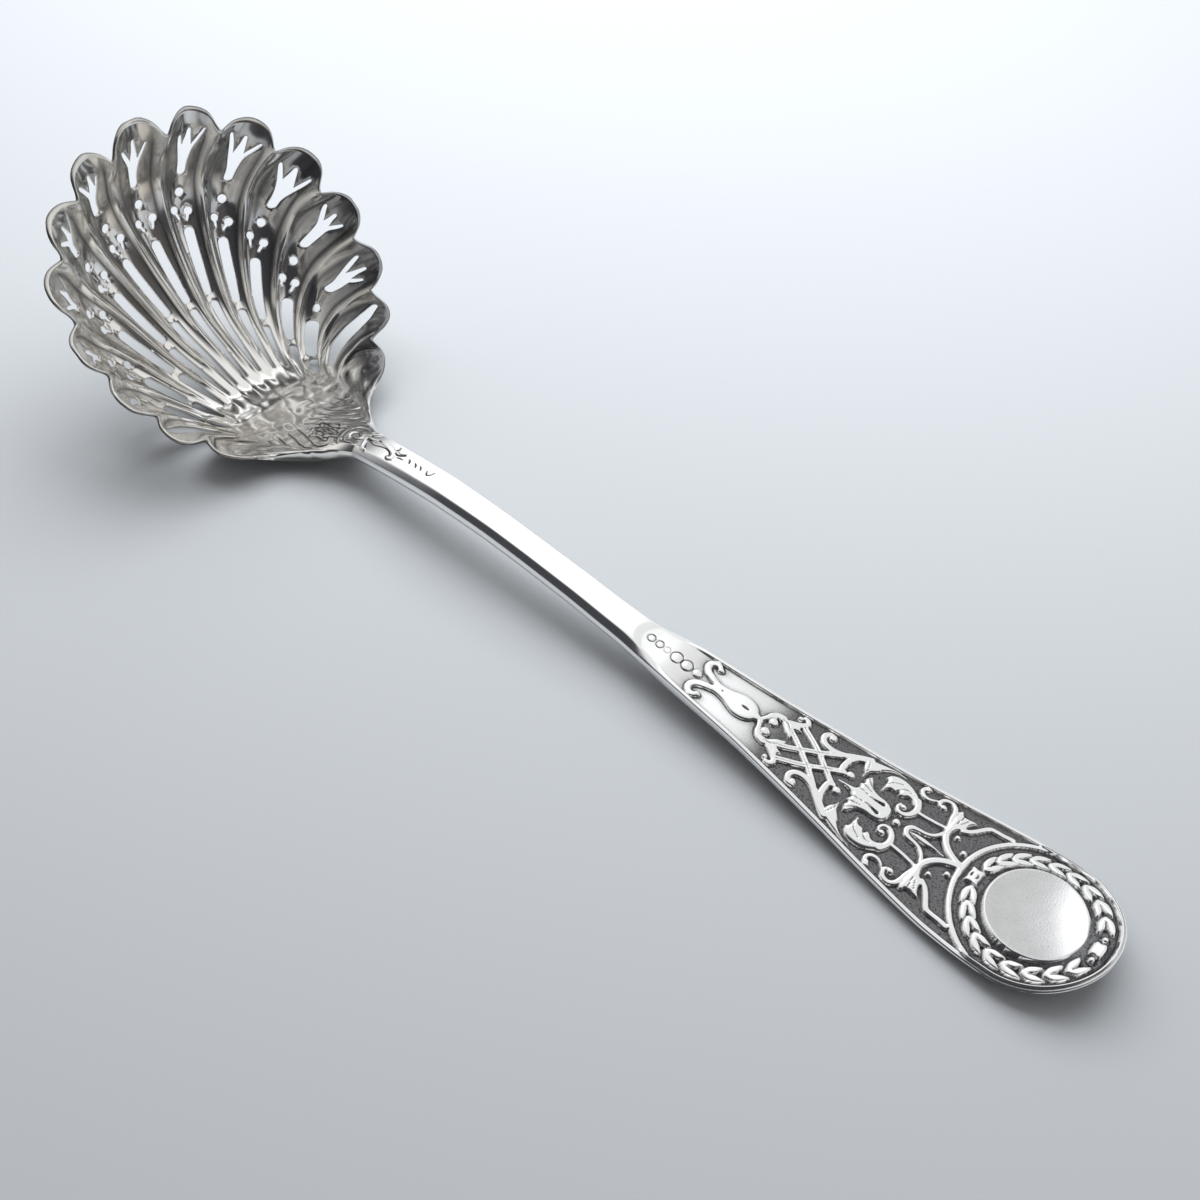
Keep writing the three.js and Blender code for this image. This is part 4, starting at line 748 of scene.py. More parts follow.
cdt_points, cdt_edges = [], []
row_of = np.full((NC, NR), -1)
for i in range(NC):
    for j in range(J0, NR):
        if not blocked[i, j] or j == J0 or j == NR - 1 or i in (0, NC - 1):
            row_of[i, j] = len(cdt_points)
            cdt_points.append(Vector((i, j)))
lattice_count = len(cdt_points)
loop_ids = []
for uv, uv_wide in loops:
    a = len(cdt_points)
    cdt_points += [Vector(p) for p in uv]
    b = len(cdt_points)
    cdt_points += [Vector(p) for p in uv_wide]
    n = len(uv)
    cdt_edges += [(a + k, a + (k + 1) % n) for k in range(n)] + [(b + k, b + (k + 1) % n) for k in range(n)]
    loop_ids.append((a, n))
made = delaunay_2d_cdt(cdt_points, cdt_edges, [], 0, 1e-4)
cdt_xy = np.array([[p[0], p[1]] for p in made[0]])
tri = np.array([f for f in made[2] if len(f) == 3])
centres = cdt_xy[tri].mean(1)
drop = np.zeros(len(tri), bool)
for uv, _ in loops:
    lo, hi = uv.min(0), uv.max(0)
    near = np.where((centres[:, 0] > lo[0]) & (centres[:, 0] < hi[0]) & (centres[:, 1] > lo[1]) & (centres[:, 1] < hi[1]))[0]
    drop[near] |= in_polygon(centres[near, 0], centres[near, 1], uv)
area = np.cross(cdt_xy[tri[:, 1]] - cdt_xy[tri[:, 0]], cdt_xy[tri[:, 2]] - cdt_xy[tri[:, 0]])
tri = tri[~drop & (np.abs(area) > 1e-7)]
area = np.cross(cdt_xy[tri[:, 1]] - cdt_xy[tri[:, 0]], cdt_xy[tri[:, 2]] - cdt_xy[tri[:, 0]])
tri[area < 0] = tri[area < 0][:, ::-1]

# which output points lie on a true outline: they sit a little lower
sunk = np.zeros(len(cdt_xy), bool)
for k, origin in enumerate(made[3]):
    if any(a <= o < a + n for o in origin for a, n in loop_ids if o >= lattice_count):
        sunk[k] = True


def sample(field, u, v):
    i = np.clip(np.floor(u).astype(int), 0, NC - 2)
    j = np.clip(np.floor(v).astype(int), 0, NR - 2)
    a, b = (u - i)[:, None], (v - j)[:, None]
    return field[i, j] * (1 - a) * (1 - b) + field[i + 1, j] * a * (1 - b) + field[i, j + 1] * (1 - a) * b + field[i + 1, j + 1] * a * b


u, v = cdt_xy.T
p_in, p_out, p_n = sample(inner, u, v), sample(outer, u, v), sample(normal, u, v)
p_in = p_in + p_n * (sunk * EASE * 0.9)[:, None]

# the neck's own quads join the pierced sheet along row J0
neck_rows = J0
neck_in = inner[:, :neck_rows].reshape(-1, 3)
neck_out = outer[:, :neck_rows].reshape(-1, 3)
n_neck, n_sheet = len(neck_in), len(p_in)
where = {}
for k, (a, b) in enumerate(cdt_xy):
    if abs(b - J0) < 1e-6 and abs(a - round(a)) < 1e-6:
        where[int(round(a))] = k
all_points = np.vstack([neck_in, p_in, neck_out, p_out, inner[:, 0], outer[:, 0]])  # the end face has its own points
IN, SH, OUT = 0, n_neck, n_neck + n_sheet
END = 2 * (n_neck + n_sheet)


def nid(i, j, side):
    if j < neck_rows:
        return (OUT if side else IN) + i * neck_rows + j
    return (OUT + n_neck if side else SH) + where[i]


quads = []
for i in range(NC - 1):
    for j in range(neck_rows):
        quads.append((nid(i, j, 0), nid(i, j + 1, 0), nid(i + 1, j + 1, 0), nid(i + 1, j, 0)))
        quads.append((nid(i, j, 1), nid(i + 1, j, 1), nid(i + 1, j + 1, 1), nid(i, j + 1, 1)))
    quads.append((END + i, END + i + 1, END + NC + i + 1, END + NC + i))
tris = [tri[:, ::-1] + SH, tri + OUT + n_neck]
# edges of the sheet that only one triangle uses are the rim, the neck's ends and the pierced outlines
edge = np.vstack([tri[:, [0, 1]], tri[:, [1, 2]], tri[:, [2, 0]]])
key = np.sort(edge, 1)
_, first, counts = np.unique(key, axis=0, return_index=True, return_counts=True)
border = edge[first[counts == 1]]
on_join = (np.abs(cdt_xy[border[:, 0], 1] - J0) < 1e-6) & (np.abs(cdt_xy[border[:, 1], 1] - J0) < 1e-6)
border = border[~on_join]
a, b = border.T
walls = np.stack([a + SH, b + SH, b + OUT + n_neck, a + OUT + n_neck], -1)
quads = np.array(quads)
for i, flip in ((0, True), (NC - 1, False)):
    for j in range(neck_rows):
        q = (nid(i, j, 0), nid(i, j + 1, 0), nid(i, j + 1, 1), nid(i, j, 1))
        quads = np.vstack([quads, [q[::-1] if flip else q]])

# ---- oxide in the bowl: in the roots of the channels, beside the ridges, in the chased lines
off = (((np.arange(NC) / SUB + 0.5) % 1) - 0.5)[:, None]  # 0 on a ridge, +-0.5 in a channel
roots = np.exp(-(((np.abs(off) - 0.5) / 0.07) ** 2)) * (smooth(0.405, 0.44, V) * (1 - smooth(0.50, 0.57, V)))[None, :]
beside = (np.exp(-(((off - 0.235) / 0.05) ** 2)) + 0.55 * np.exp(-(((off + 0.235) / 0.05) ** 2))) * (smooth(0.46, 0.56, V) * (1 - smooth(0.95, 0.99, V)))[None, :]
ox_in = np.clip((0.55 + 0.35 * smooth(0.40, 0.55, V)[None, :]) * roots + 0.75 * beside + 0.9 * neck_line + 0.10 * neck_zone + 0.6 * lobe_line, 0, 1)
# a darker layer: real tarnish and painted shade, least at the root, most in the lobes on the +y side, which it darkens
# as shade would
lane = (np.arange(NC) / SUB)[:, None]
streak = 0.5 + 0.28 * np.sin(19.0 * lane + 1.5 * np.sin(3.0 * V)[None, :]) + 0.22 * np.sin(43.0 * lane + 2.0 + 1.2 * np.sin(5.0 * V)[None, :])
bowl_film_and_shade = smooth(0.48, 0.80, V)[None, :] * (0.12 + 0.34 * streak * smooth(0.62, 0.85, V)[None, :] * (0.3 + 0.7 * smooth(-13.0, -3.0, inner[..., 1])) + 0.48 * smooth(0.5, 12.0, inner[..., 1]) * smooth(-146, -118, inner[..., 0]) + 0.15 * smooth(1.0, 12.0, inner[..., 1]))
bowl_film_and_shade = bowl_film_and_shade * (1 - 0.9 * np.exp(-((from_crest / 0.12) ** 2)))  # the crests are left bright: wear, and a painted highlight along each crest
# the root is satin, the wall and the lobes are brighter finished
satin = 0.05 * (1 - smooth(0.16, 0.24, V))[None, :] + 0.025 * (1 - smooth(0.44, 0.62, V))[None, :] * smooth(0.10, 0.25, V)[None, :] + 0.045 * smooth(0.66, 0.84, V)[None, :] + 0 * inner[..., 0]
edge_tone = np.repeat(0.85 * smooth(0.972, 1, V)[None, :], NC, 0)  # the rim's outer edge is dull


def both_sides(field, last):
    """A value for each point: field on the inner face, last on the outer one."""
    last = last + 0 * field
    faces_of = [np.concatenate([q[:, :neck_rows].ravel(), sample(q[..., None], u, v)[:, 0]]) for q in (field, last)]
    return np.concatenate([*faces_of, np.zeros(2 * NC)])


bowl = mesh_object("bowl_shell", all_points, [quads.astype(int), walls.astype(int), *tris], "bowl_silver", ["bowl"], bowl_silver, {"oxide_and_shade": both_sides(ox_in, edge_tone), "tarnish_and_painted_shade": both_sides(np.clip(bowl_film_and_shade, 0, 0.85), 0.15), "satin": both_sides(satin, 0.03)})

# ---------------------------------------------------------------- stem and handle end
END_R, BORDER, SINK = 8.98, 0.55, 0.42
STEM_X = (-103.5, -52.5)
DIVIDE = [34, 30, 4, 5, 4, 4, 2, 3, 3]  # steps between the corners of a half section


def crown(x, y):
    return top_z(np.clip(x, -104, 8.9)) - 0.011 * y * y


def sink_of(x):
    return SINK * smooth(-50, -44, x)


def stem_corners(x):
    w, z, h = half_w(x), top_z(x), thick(x)
    return [(0 * w, z), (0.33 * w, z), (0.62 * w, z), (0.69 * w, z - 0.02 * h), (0.95 * w, z - 0.31 * h), (w, z - 0.5 * h), (0.95 * w, z - 0.7 * h), (0.75 * w, z - 0.89 * h), (0.4 * w, z - h), (0 * w, z - h)]


def end_corners(x, w, x_of, y_of):
    """Corners of a half section that runs outwards a distance w; x_of and y_of give its plan from a distance."""
    b = np.minimum(BORDER, w * 0.3)
    g = sink_of(x)

    def top(r):
        return crown(x_of(r), y_of(r))

    def under(r):
        xx = np.clip(x_of(r), -104, 8.9)
        return top_z(xx) - thick(xx) + 0.75 * (r / np.maximum(w, 0.1)) ** 4

    return [
        (0 * w, top(0 * w) - g), (w * 0.5, top(w * 0.5) - g), (w - b - 0.16, top(w - b) - g), (w - b, top(w - b)), (w - 0.14, top(w) + 0.02),
        (w, top(w) - 0.22), (w, under(w) + 0.18), (w * 0.8, under(w * 0.8)), (w * 0.4, under(w * 0.4)), (0 * w, under(0 * w)),
    ]


def dense(corners):
    """Corner lists [(r, z)] to arrays of r and z along the whole half section, crisp corners a little rounded."""
    rs, zs = [], []
    for k, n in enumerate(DIVIDE):
        (r0, z0), (r1, z1) = corners[k], corners[k + 1]
        t = np.arange(n) / n
        rs.append(r0[:, None] + (r1 - r0)[:, None] * t)
        zs.append(z0[:, None] + (z1 - z0)[:, None] * t)
    rs.append(corners[-1][0][:, None])
    zs.append(corners[-1][1][:, None])
    r, z = np.concatenate(rs, 1), np.concatenate(zs, 1)
    corner = sum(DIVIDE[:2])
    for _ in range(2):
        r[:, corner:-1] = (r[:, corner - 1 : -2] + 2 * r[:, corner:-1] + r[:, corner + 1 :]) / 4
        z[:, corner:-1] = (z[:, corner - 1 : -2] + 2 * z[:, corner:-1] + z[:, corner + 1 :]) / 4
    return r, z


def sections(xs):
    """Half sections across the spoon at xs: arrays [station, point] of y and z."""
    xs = np.asarray(xs, float)
    w = half_w(xs)
    a = stem_corners(xs)
    b = end_corners(xs, w, lambda r: xs, lambda r: r)
    k = smooth(-56, -46, xs)[:, None]
    (ra, za), (rb, zb) = dense(a), dense(b)
    foot = sum(DIVIDE[:2]) - 1
    zb[:, :foot] = crown(xs[:, None], rb[:, :foot]) - sink_of(xs)[:, None]
    return ra * (1 - k) + rb * k, za * (1 - k) + zb * k


# ---- the raised ornament, as strokes, balls and leaves over the plan; right side given, left side mirrored
RAISED, CUT = [], []


def stroke(points, h=0.40, edge=0.26, both=True):
    line = spline(np.array([(p[0], p[1], p[2] + 0.05) for p in points], float), 14)
    RAISED.append(("line", line, h, edge * 0.85))
    if both:
        RAISED.append(("line", line * [1, -1, 1], h, edge * 0.85))


def ball(x, y, r, h=0.46):
    for m in (1, -1) if abs(y) > 0.01 else (1,):
        RAISED.append(("line", np.array([[x, y * m, r]]), h, r))


def leaf(points, h=0.46, edge=0.5, axis=False, per=5):
    """A filled shape. axis: the points are its right half, from the axis to the axis."""
    p = np.array(points, float)
    if axis:
        p = np.vstack([p, (p * [1, -1])[::-1][1:-1]])
    q = spline(p, per, closed=True)
    RAISED.append(("area", q, h, edge))
    if not axis:
        RAISED.append(("area", q * [1, -1], h, edge))


def groove(points, depth=0.2, both=True):
    line = spline(np.array(points, float), 12) if len(points) > 1 else np.array(points, float)
    CUT.append((line, depth))
    if both:
        CUT.append((line * [1, -1, 1], depth))


def ring_groove(x, y, r, half, depth):
    a = np.linspace(0, 2 * math.pi, 40)
    for m in (1, -1) if abs(y) > 0.01 else (1,):
        CUT.append((np.stack([x + r * np.cos(a), y * m + r * np.sin(a), np.full(40, half)], -1), depth))


def polar(degrees, radius):
    a = math.radians(degrees)
    return radius * math.cos(a), radius * math.sin(a)


# beads at the start of the ornament
for x, r, h in ((-48.65, 0.66, 0.12), (-47.1, 0.68, 0.26), (-45.55, 0.62, 0.38)):
    ball(x, 0, r, h)
for x, r, d in ((-52.6, 0.5, 0.17), (-51.3, 0.5, 0.15), (-50.1, 0.42, 0.07), (-48.65, 0.76, 0.18), (-47.1, 0.76, 0.15)):
    ring_groove(x, 0, r, 0.12, d)
# volutes and the vase between them
stroke([(-43.0, 0.50, 0.40), (-43.8, 0.72, 0.42), (-44.6, 1.05, 0.44), (-45.15, 1.6, 0.44), (-45.2, 2.2, 0.42), (-44.8, 2.62, 0.38), (-44.2, 2.68, 0.34), (-43.8, 2.35, 0.3)])
ball(-43.75, 2.3, 0.46)
leaf([(-43.2, 0), (-43.9, 0.35), (-44.4, 0.65), (-43.8, 1.08), (-43, 0.90), (-42, 0.86), (-41, 1.02), (-40, 1.38), (-39.2, 1.6), (-38.4, 1.6), (-37.7, 1.42), (-37.1, 1.05), (-36.7, 0.6), (-36.2, 0.42), (-35.8, 0.4), (-35.7, 0)], 0.42, 0.38, axis=True)
groove([(-38.75, 0, 0.08), (-38.3, 0, 0.17), (-37.9, 0, 0.1)], 0.3, both=False)
groove([(-41.7, 0, 0.14)], 0.18, both=False)
# the first curls, their leaves and outer knobs
ball(-34.82, 0.84, 0.66)
stroke([(-36.0, 0.28, 0.28), (-35.68, 0.9, 0.3), (-35.45, 1.4, 0.38), (-34.95, 1.85, 0.44), (-34.2, 2.02, 0.45)])
leaf([(-35.3, 1.95), (-34.6, 2.25), (-33.6, 2.4), (-32.8, 2.55), (-32.2, 2.9), (-31.5, 2.85), (-31.95, 2.3), (-31.5, 2.0), (-31.95, 1.75), (-32.5, 1.5), (-32.15, 1.0), (-32.15, 0.22), (-32.6, 0.42), (-33.2, 0.7), (-33.7, 1.15), (-34.1, 1.5), (-34.8, 1.62), (-35.3, 1.5)], 0.42, 0.36)
groove([(-34.1, 0.95, 0.08), (-34.35, 1.42, 0.10), (-34.85, 1.58, 0.06)], 0.32)
groove([(-34.2, 1.85, 0.05), (-33.4, 1.75, 0.08), (-32.7, 1.25, 0.05)], 0.12)
stroke([(-33.4, 2.15, 0.3), (-32.6, 2.5, 0.34), (-31.95, 2.98, 0.34), (-31.72, 3.45, 0.34), (-32.0, 3.82, 0.32), (-32.45, 3.88, 0.26)])
ball(-32.82, 3.48, 0.4)
# the lattice of crossing straps
bar_a = [(-32.5, 1.25, 0.33), (-31.4, 0.68, 0.33), (-30.3, 0, 0.33), (-29.4, -0.6, 0.33), (-28.5, -1.17, 0.33), (-27.6, -1.85, 0.34), (-26.6, -2.7, 0.38)]
bar_b = [(-31.7, 2.78, 0.33), (-30.9, 2.4, 0.33), (-30, 1.98, 0.33), (-28.5, 1.17, 0.33), (-26.8, 0, 0.33), (-26.1, -0.45, 0.33), (-25.3, -1.0, 0.36)]
stroke(bar_a, 0.38, 0.16)
stroke(bar_b, 0.36, 0.16)
for bar in (bar_a, bar_b):
    groove([(p[0], p[1], 0.09) for p in bar[:-1]], 0.07)
# the big scrolls below the lattice
ball(-28.58, 3.9, 0.5)
stroke([(-28.4, 4.22, 0.26), (-29.05, 4.12, 0.36), (-29.42, 3.55, 0.4), (-29.2, 2.98, 0.4), (-28.6, 2.62, 0.4), (-27.8, 2.52, 0.4), (-27.0, 2.68, 0.4), (-26.2, 3.02, 0.42), (-25.3, 3.62, 0.46), (-24.4, 4.25, 0.46), (-23.6, 4.75, 0.42)], 0.42, 0.34)
leaf([(-24.2, 4.2), (-23.8, 4.75), (-22.9, 5.12), (-22, 5.42), (-21, 5.68), (-20, 5.8), (-19.3, 5.76), (-20.2, 5.6), (-21.1, 5.2), (-21.8, 4.6), (-22.3, 4.05), (-22.9, 3.7)], 0.44, 0.4)
leaf([(-24.0, 4.5), (-24.05, 3.8), (-23.8, 3.2), (-23.45, 2.85), (-23.25, 2.3), (-23.05, 2.8), (-22.8, 3.3), (-22.35, 3.75), (-22.0, 4.3), (-22.6, 4.9), (-23.3, 4.9)], 0.46, 0.4)
groove([(-23.6, 4.3, 0.05), (-23.3, 3.5, 0.07), (-23.2, 2.9, 0.04)], 0.12)
# knobs hanging from the lattice
stroke([(-25.0, 3.7, 0.4), (-25.4, 2.8, 0.38), (-25.52, 2.0, 0.38), (-25.42, 1.3, 0.38), (-24.95, 1.08, 0.34)], 0.42, 0.3)
ball(-24.28, 1.36, 0.56)
# the tulip on the axis
leaf([(-24.95, 0.0), (-24.2, 0.16), (-23.4, 0.36), (-22.95, 0.55), (-22.8, 0.95), (-22.95, 1.3), (-22.65, 1.7), (-22.8, 2.1), (-22.6, 2.65), (-22.3, 2.98), (-21.95, 2.75), (-21.6, 2.1), (-21.1, 1.7), (-20.3, 1.5), (-19.5, 1.5), (-18.8, 1.3), (-18.3, 0.85), (-18.12, 0.4), (-18.1, 0)], 0.5, 0.55, axis=True)
groove([(-19.35, 0.68, 0.24)], 0.5)
groove([(-21.0, 0.47, 0.04), (-20.3, 0.53, 0.10), (-19.6, 0.64, 0.2)], 0.34)
groove([(-23.0, 0.78, 0.05), (-22.2, 0.66, 0.08), (-21.4, 0.56, 0.04)], 0.16)
groove([(-22.8, 1.5, 0.05), (-22.0, 1.32, 0.08), (-21.2, 1.1, 0.04)], 0.16)
groove([(-22.45, 2.5, 0.05), (-22.0, 2.05, 0.07), (-21.4, 1.6, 0.04)], 0.14)
ball(-17.12, 0, 0.52, 0.5)
# acanthus scrolls on both sides of it
leaf([(-21.2, 4.05), (-21.0, 4.7), (-20.3, 5.2), (-19.3, 5.36), (-18.3, 5.2), (-17.4, 4.75), (-16.6, 4.05), (-16.25, 3.3), (-16.95, 3.15), (-17.4, 3.45), (-18.0, 3.5), (-18.5, 3.1), (-18.9, 3.05), (-19.15, 3.4), (-19.4, 3.05), (-20.0, 3.0), (-20.4, 2.6), (-20.6, 2.15), (-20.8, 2.8), (-20.85, 3.6), (-21.0, 3.9)], 0.52, 0.6)
groove([(-20.65, 2.9, 0.05), (-20.2, 3.9, 0.08), (-19.2, 4.5, 0.05)], 0.16)
groove([(-19.2, 3.5, 0.06), (-18.7, 4.1, 0.08), (-17.8, 4.2, 0.05)], 0.14)
stroke([(-16.8, 3.9, 0.44), (-16.4, 3.2, 0.42), (-16.32, 2.45, 0.4), (-16.6, 1.75, 0.36), (-17.15, 1.28, 0.32), (-17.8, 1.32, 0.27), (-18.18, 1.8, 0.22), (-18.05, 2.3, 0.16)], 0.46, 0.32)
ball(-17.62, 2.16, 0.40)
# small S curls along the border
ball(-16.88, 6.08, 0.34)
stroke([(-16.6, 6.36, 0.16), (-17.1, 6.22, 0.24), (-17.28, 5.62, 0.27), (-16.85, 5.15, 0.27), (-16.2, 5.05, 0.25), (-15.6, 5.3, 0.19), (-15.3, 5.62, 0.09)])
ball(-14.32, 5.32, 0.44)
stroke([(-14.7, 5.2, 0.16), (-14.98, 5.55, 0.24), (-14.85, 6.1, 0.27), (-14.4, 6.42, 0.28), (-13.8, 6.5, 0.28), (-13.25, 6.15, 0.3), (-12.95, 5.5, 0.34), (-12.75, 4.7, 0.4), (-12.5, 3.8, 0.4), (-12.35, 3.0, 0.35)])
# leafy brackets, elbows, stalks
leaf([(-12.75, 4.4), (-12.85, 5.4), (-12.8, 6.1), (-12.55, 6.5), (-12.2, 6.38), (-12.0, 6.02), (-11.4, 6.0), (-10.8, 6.12), (-10.35, 6.0), (-10.75, 5.45), (-10.95, 4.9), (-10.8, 4.4), (-11.2, 4.0), (-11.6, 3.7), (-11.8, 3.2), (-12.0, 2.7), (-12.4, 2.4), (-12.6, 2.9), (-12.7, 3.6)], 0.46, 0.42)
groove([(-11.9, 5.85, 0.06), (-12.0, 5.0, 0.08), (-12.1, 4.2, 0.04)], 0.15)
groove([(-11.2, 5.75, 0.05), (-11.5, 5.0, 0.07), (-11.8, 4.4, 0.04)], 0.13)
stroke([(-11.1, 4.1, 0.28), (-10.5, 4.5, 0.28), (-9.95, 5.15, 0.28), (-9.4, 6.0, 0.29), (-8.95, 6.5, 0.3), (-8.4, 6.62, 0.29), (-7.4, 6.7, 0.29), (-6.4, 6.85, 0.3)], 0.38, 0.18)
stroke([(-16.2, 2.68, 0.22), (-14.5, 2.82, 0.22), (-12.6, 3.15, 0.22)], 0.34, 0.15)
stroke([(-12.35, 3.3, 0.34), (-12.25, 2.5, 0.4), (-11.9, 1.75, 0.42), (-11.3, 1.1, 0.42), (-10.6, 0.62, 0.42), (-9.9, 0.3, 0.42), (-9.2, 0.1, 0.4)], 0.44, 0.36)
groove([(-12.5, 1.62, 0.05), (-12.0, 1.1, 0.09), (-11.4, 0.6, 0.05)], 0.3)
ball(-11.05, 2.95, 0.38)
# the bud on the axis
stroke([(-15.8, 0.1, 0.32), (-15.5, 0.55, 0.33), (-14.8, 0.78, 0.28), (-14.0, 0.9, 0.26), (-13.3, 1.2, 0.26), (-12.8, 1.75, 0.26), (-12.55, 2.3, 0.25)], 0.44, 0.28)
leaf([(-15.7, 0), (-15.1, 0.14), (-14.4, 0.33), (-13.4, 0.38), (-12.5, 0.26), (-11.6, 0.09), (-10.95, 0)], 0.42, 0.3, axis=True)
# the band that arches round the wreath, and the border beyond it
stroke([(*polar(a, 8.82), 0.3) for a in np.linspace(180, 114, 14)], 0.42, 0.2)
stroke([(*polar(a, 8.80 - 0.34 * smooth(112, 86, a)), 0.3 + 0.06 * float(smooth(112, 90, a))) for a in np.linspace(116, 0, 24)], 0.44, 0.22)
ball(-9.55, 1.68, 0.42)
# the clasp and the wreath
leaf([(-7.95, 0), (-7.92, 0.5), (-8.0, 0.98), (-7.6, 1.06), (-7.2, 0.98), (-6.8, 1.06), (-6.36, 0.98), (-6.44, 0.5), (-6.42, 0)], 0.46, 0.3, axis=True)
groove([(-7.56, -0.42, 0.05), (-7.56, 0, 0.11), (-7.56, 0.42, 0.05)], 0.34, both=False)
groove([(-6.84, -0.42, 0.05), (-6.84, 0, 0.11), (-6.84, 0.42, 0.05)], 0.34, both=False)
for k, a in enumerate((161.3, 146, 131, 115.2, 98.3, 81.4, 64, 46, 27.5)):
    back = 6.88 - 0.04 * k / 8
    stroke([(*polar(a + 6.5, back), 0.34), (*polar(a + 2, back + 0.36), 0.42), (*polar(a - 4, back + 0.55), 0.36), (*polar(a - 9, back + 0.72), 0.12)], 0.48, 0.34)
    stroke([(*polar(a + 6.5, back), 0.34), (*polar(a + 2, back - 0.36), 0.42), (*polar(a - 4, back - 0.52), 0.36), (*polar(a - 9, back - 0.68), 0.12)], 0.48, 0.34)
    groove([(*polar(a + 2.6, back), 0.07), (*polar(a - 1.5, back), 0.10), (*polar(a - 6, back), 0.09)], 0.36)
ball(6.82, 1.45, 0.40, 0.52)
leaf([(6.05, 0), (6.1, 0.6), (6.3, 1.0), (6.75, 0.85), (7.25, 1.0), (7.5, 0.6), (7.55, 0)], 0.46, 0.36, axis=True)
ring_groove(6.82, 1.45, 0.5, 0.10, 0.25)
# a leafy end, a scroll and a string of husks on the stem by the bowl
ROOT_STROKES = [
    [(-103.3, 0.40, 0.22), (-102.4, 0.60, 0.28), (-101.6, 0.76, 0.32), (-100.3, 0.64, 0.36), (-98.9, 0.28, 0.38), (-98.0, -0.08, 0.34), (-97.65, -0.72, 0.3), (-97.85, -1.25, 0.25), (-98.3, -1.18, 0.18)],
    [(-104.2, 1.35, 0.16), (-103.5, 1.25, 0.18), (-102.9, 1.45, 0.2), (-102.5, 1.8, 0.14)],
    [(-104.0, -0.2, 0.16), (-103.5, -0.55, 0.2), (-103.25, -1.1, 0.2), (-102.9, -1.65, 0.18), (-102.2, -1.85, 0.12)],
    [(-97.6, 0.62, 0.16), (-97.0, 0.55, 0.2), (-96.4, 0.75, 0.12)],
]
for pts in ROOT_STROKES:
    stroke(pts, 0.15, 0.2, both=False)
ROOT_CUTS = [
    [(-103.6, -0.05, 0.10), (-102.9, -0.12, 0.13), (-102.2, -0.30, 0.13), (-101.5, -0.34, 0.14), (-100.6, -0.08, 0.15), (-99.6, 0.0, 0.14), (-98.65, -0.28, 0.14), (-98.3, -0.78, 0.15), (-98.45, -1.15, 0.16), (-97.9, -1.52, 0.15), (-97.2, -1.25, 0.09)],
    [(-101.85, 0.66, 0.08), (-101.5, 0.60, 0.17), (-101.2, 0.52, 0.08)],
    [(-103.6, 0.15, 0.14), (-103.0, 0.12, 0.2), (-102.5, 0.1, 0.12)],
    [(-102.9, -0.75, 0.12), (-102.6, -1.2, 0.18), (-102.3, -1.5, 0.1)],
    [(-103.6, 0.85, 0.10), (-102.9, 0.95, 0.13), (-102.3, 1.2, 0.09)],
    [(-103.4, 1.85, 0.10), (-102.8, 1.9, 0.12), (-102.3, 2.05, 0.06)],
    [(-98.35, 0.42, 0.08), (-98.0, 0.85, 0.15), (-98.1, 1.3, 0.08)],
    [(-97.75, 0.02, 0.15), (-97.2, 0.02, 0.22), (-96.7, 0.2, 0.18), (-96.2, 0.52, 0.08)],
    [(-97.0, -0.42, 0.09), (-96.5, -0.30, 0.16), (-96.0, -0.28, 0.08)],
    [(-95.3, 0.34, 0.09), (-95.0, 0.06, 0.15), (-94.75, -0.30, 0.09)],
    [(-94.1, 0.28, 0.09), (-93.75, 0.02, 0.14), (-93.5, -0.36, 0.08)],
    [(-93.1, 0.28, 0.08), (-92.8, 0.05, 0.13), (-92.55, -0.34, 0.08)],
    [(-91.7, 0.18, 0.07), (-91.45, -0.22, 0.12), (-91.1, -0.44, 0.13), (-90.8, -0.14, 0.11), (-90.65, 0.25, 0.10), (-90.62, 0.58, 0.06)],
]
for pts in ROOT_CUTS:
    groove(pts, 0.22, both=False)

CARTOUCHE_R = 5.52


def relief_of(x, y):
    """Height of the ornament above the sunk ground, and the depth of the cuts."""
    shape = x.shape
    x, y = x.ravel(), y.ravel()
    h = np.zeros(len(x))
    for kind, line, top, edge in RAISED:
        if kind == "line":
            m = line[:, 2].max()
            lo, hi = line[:, :2].min(0) - m, line[:, :2].max(0) + m
            sel = np.where((x > lo[0]) & (x < hi[0]) & (y > lo[1]) & (y < hi[1]))[0]
            if not len(sel):
                continue
            d = np.hypot(x[sel, None] - line[:, 0], y[sel, None] - line[:, 1])
            into = (line[:, 2] - d).max(1)
        else:
            lo, hi = line.min(0), line.max(0)
            sel = np.where((x > lo[0]) & (x < hi[0]) & (y > lo[1]) & (y < hi[1]))[0]
            if not len(sel):
                continue
            inside_it = in_polygon(x[sel], y[sel], line)
            sel = sel[inside_it]
            if not len(sel):
                continue
            a, b = line, np.roll(line, -1, 0)
            ab = b - a
            px, py = x[sel, None] - a[:, 0], y[sel, None] - a[:, 1]
            t = np.clip((px * ab[:, 0] + py * ab[:, 1]) / np.maximum((ab**2).sum(1), 1e-9), 0, 1)
            into = np.hypot(px - t * ab[:, 0], py - t * ab[:, 1]).min(1)
        t = np.clip(into / edge, 0, 1)
        h[sel] = np.maximum(h[sel], top * np.sqrt(1 - (1 - t) ** 2) * (into > 0))
    cut = np.zeros(len(x))
    for line, depth in CUT:
        m = line[:, 2].max()
        lo, hi = line[:, :2].min(0) - m, line[:, :2].max(0) + m
        sel = np.where((x > lo[0]) & (x < hi[0]) & (y > lo[1]) & (y < hi[1]))[0]
        if not len(sel):
            continue
        d = np.hypot(x[sel, None] - line[:, 0], y[sel, None] - line[:, 1])
        into = (1 - d / line[:, 2]).max(1)
        cut[sel] = np.maximum(cut[sel], depth * smooth(0, 0.8, into))
    return h.reshape(shape), cut.reshape(shape)


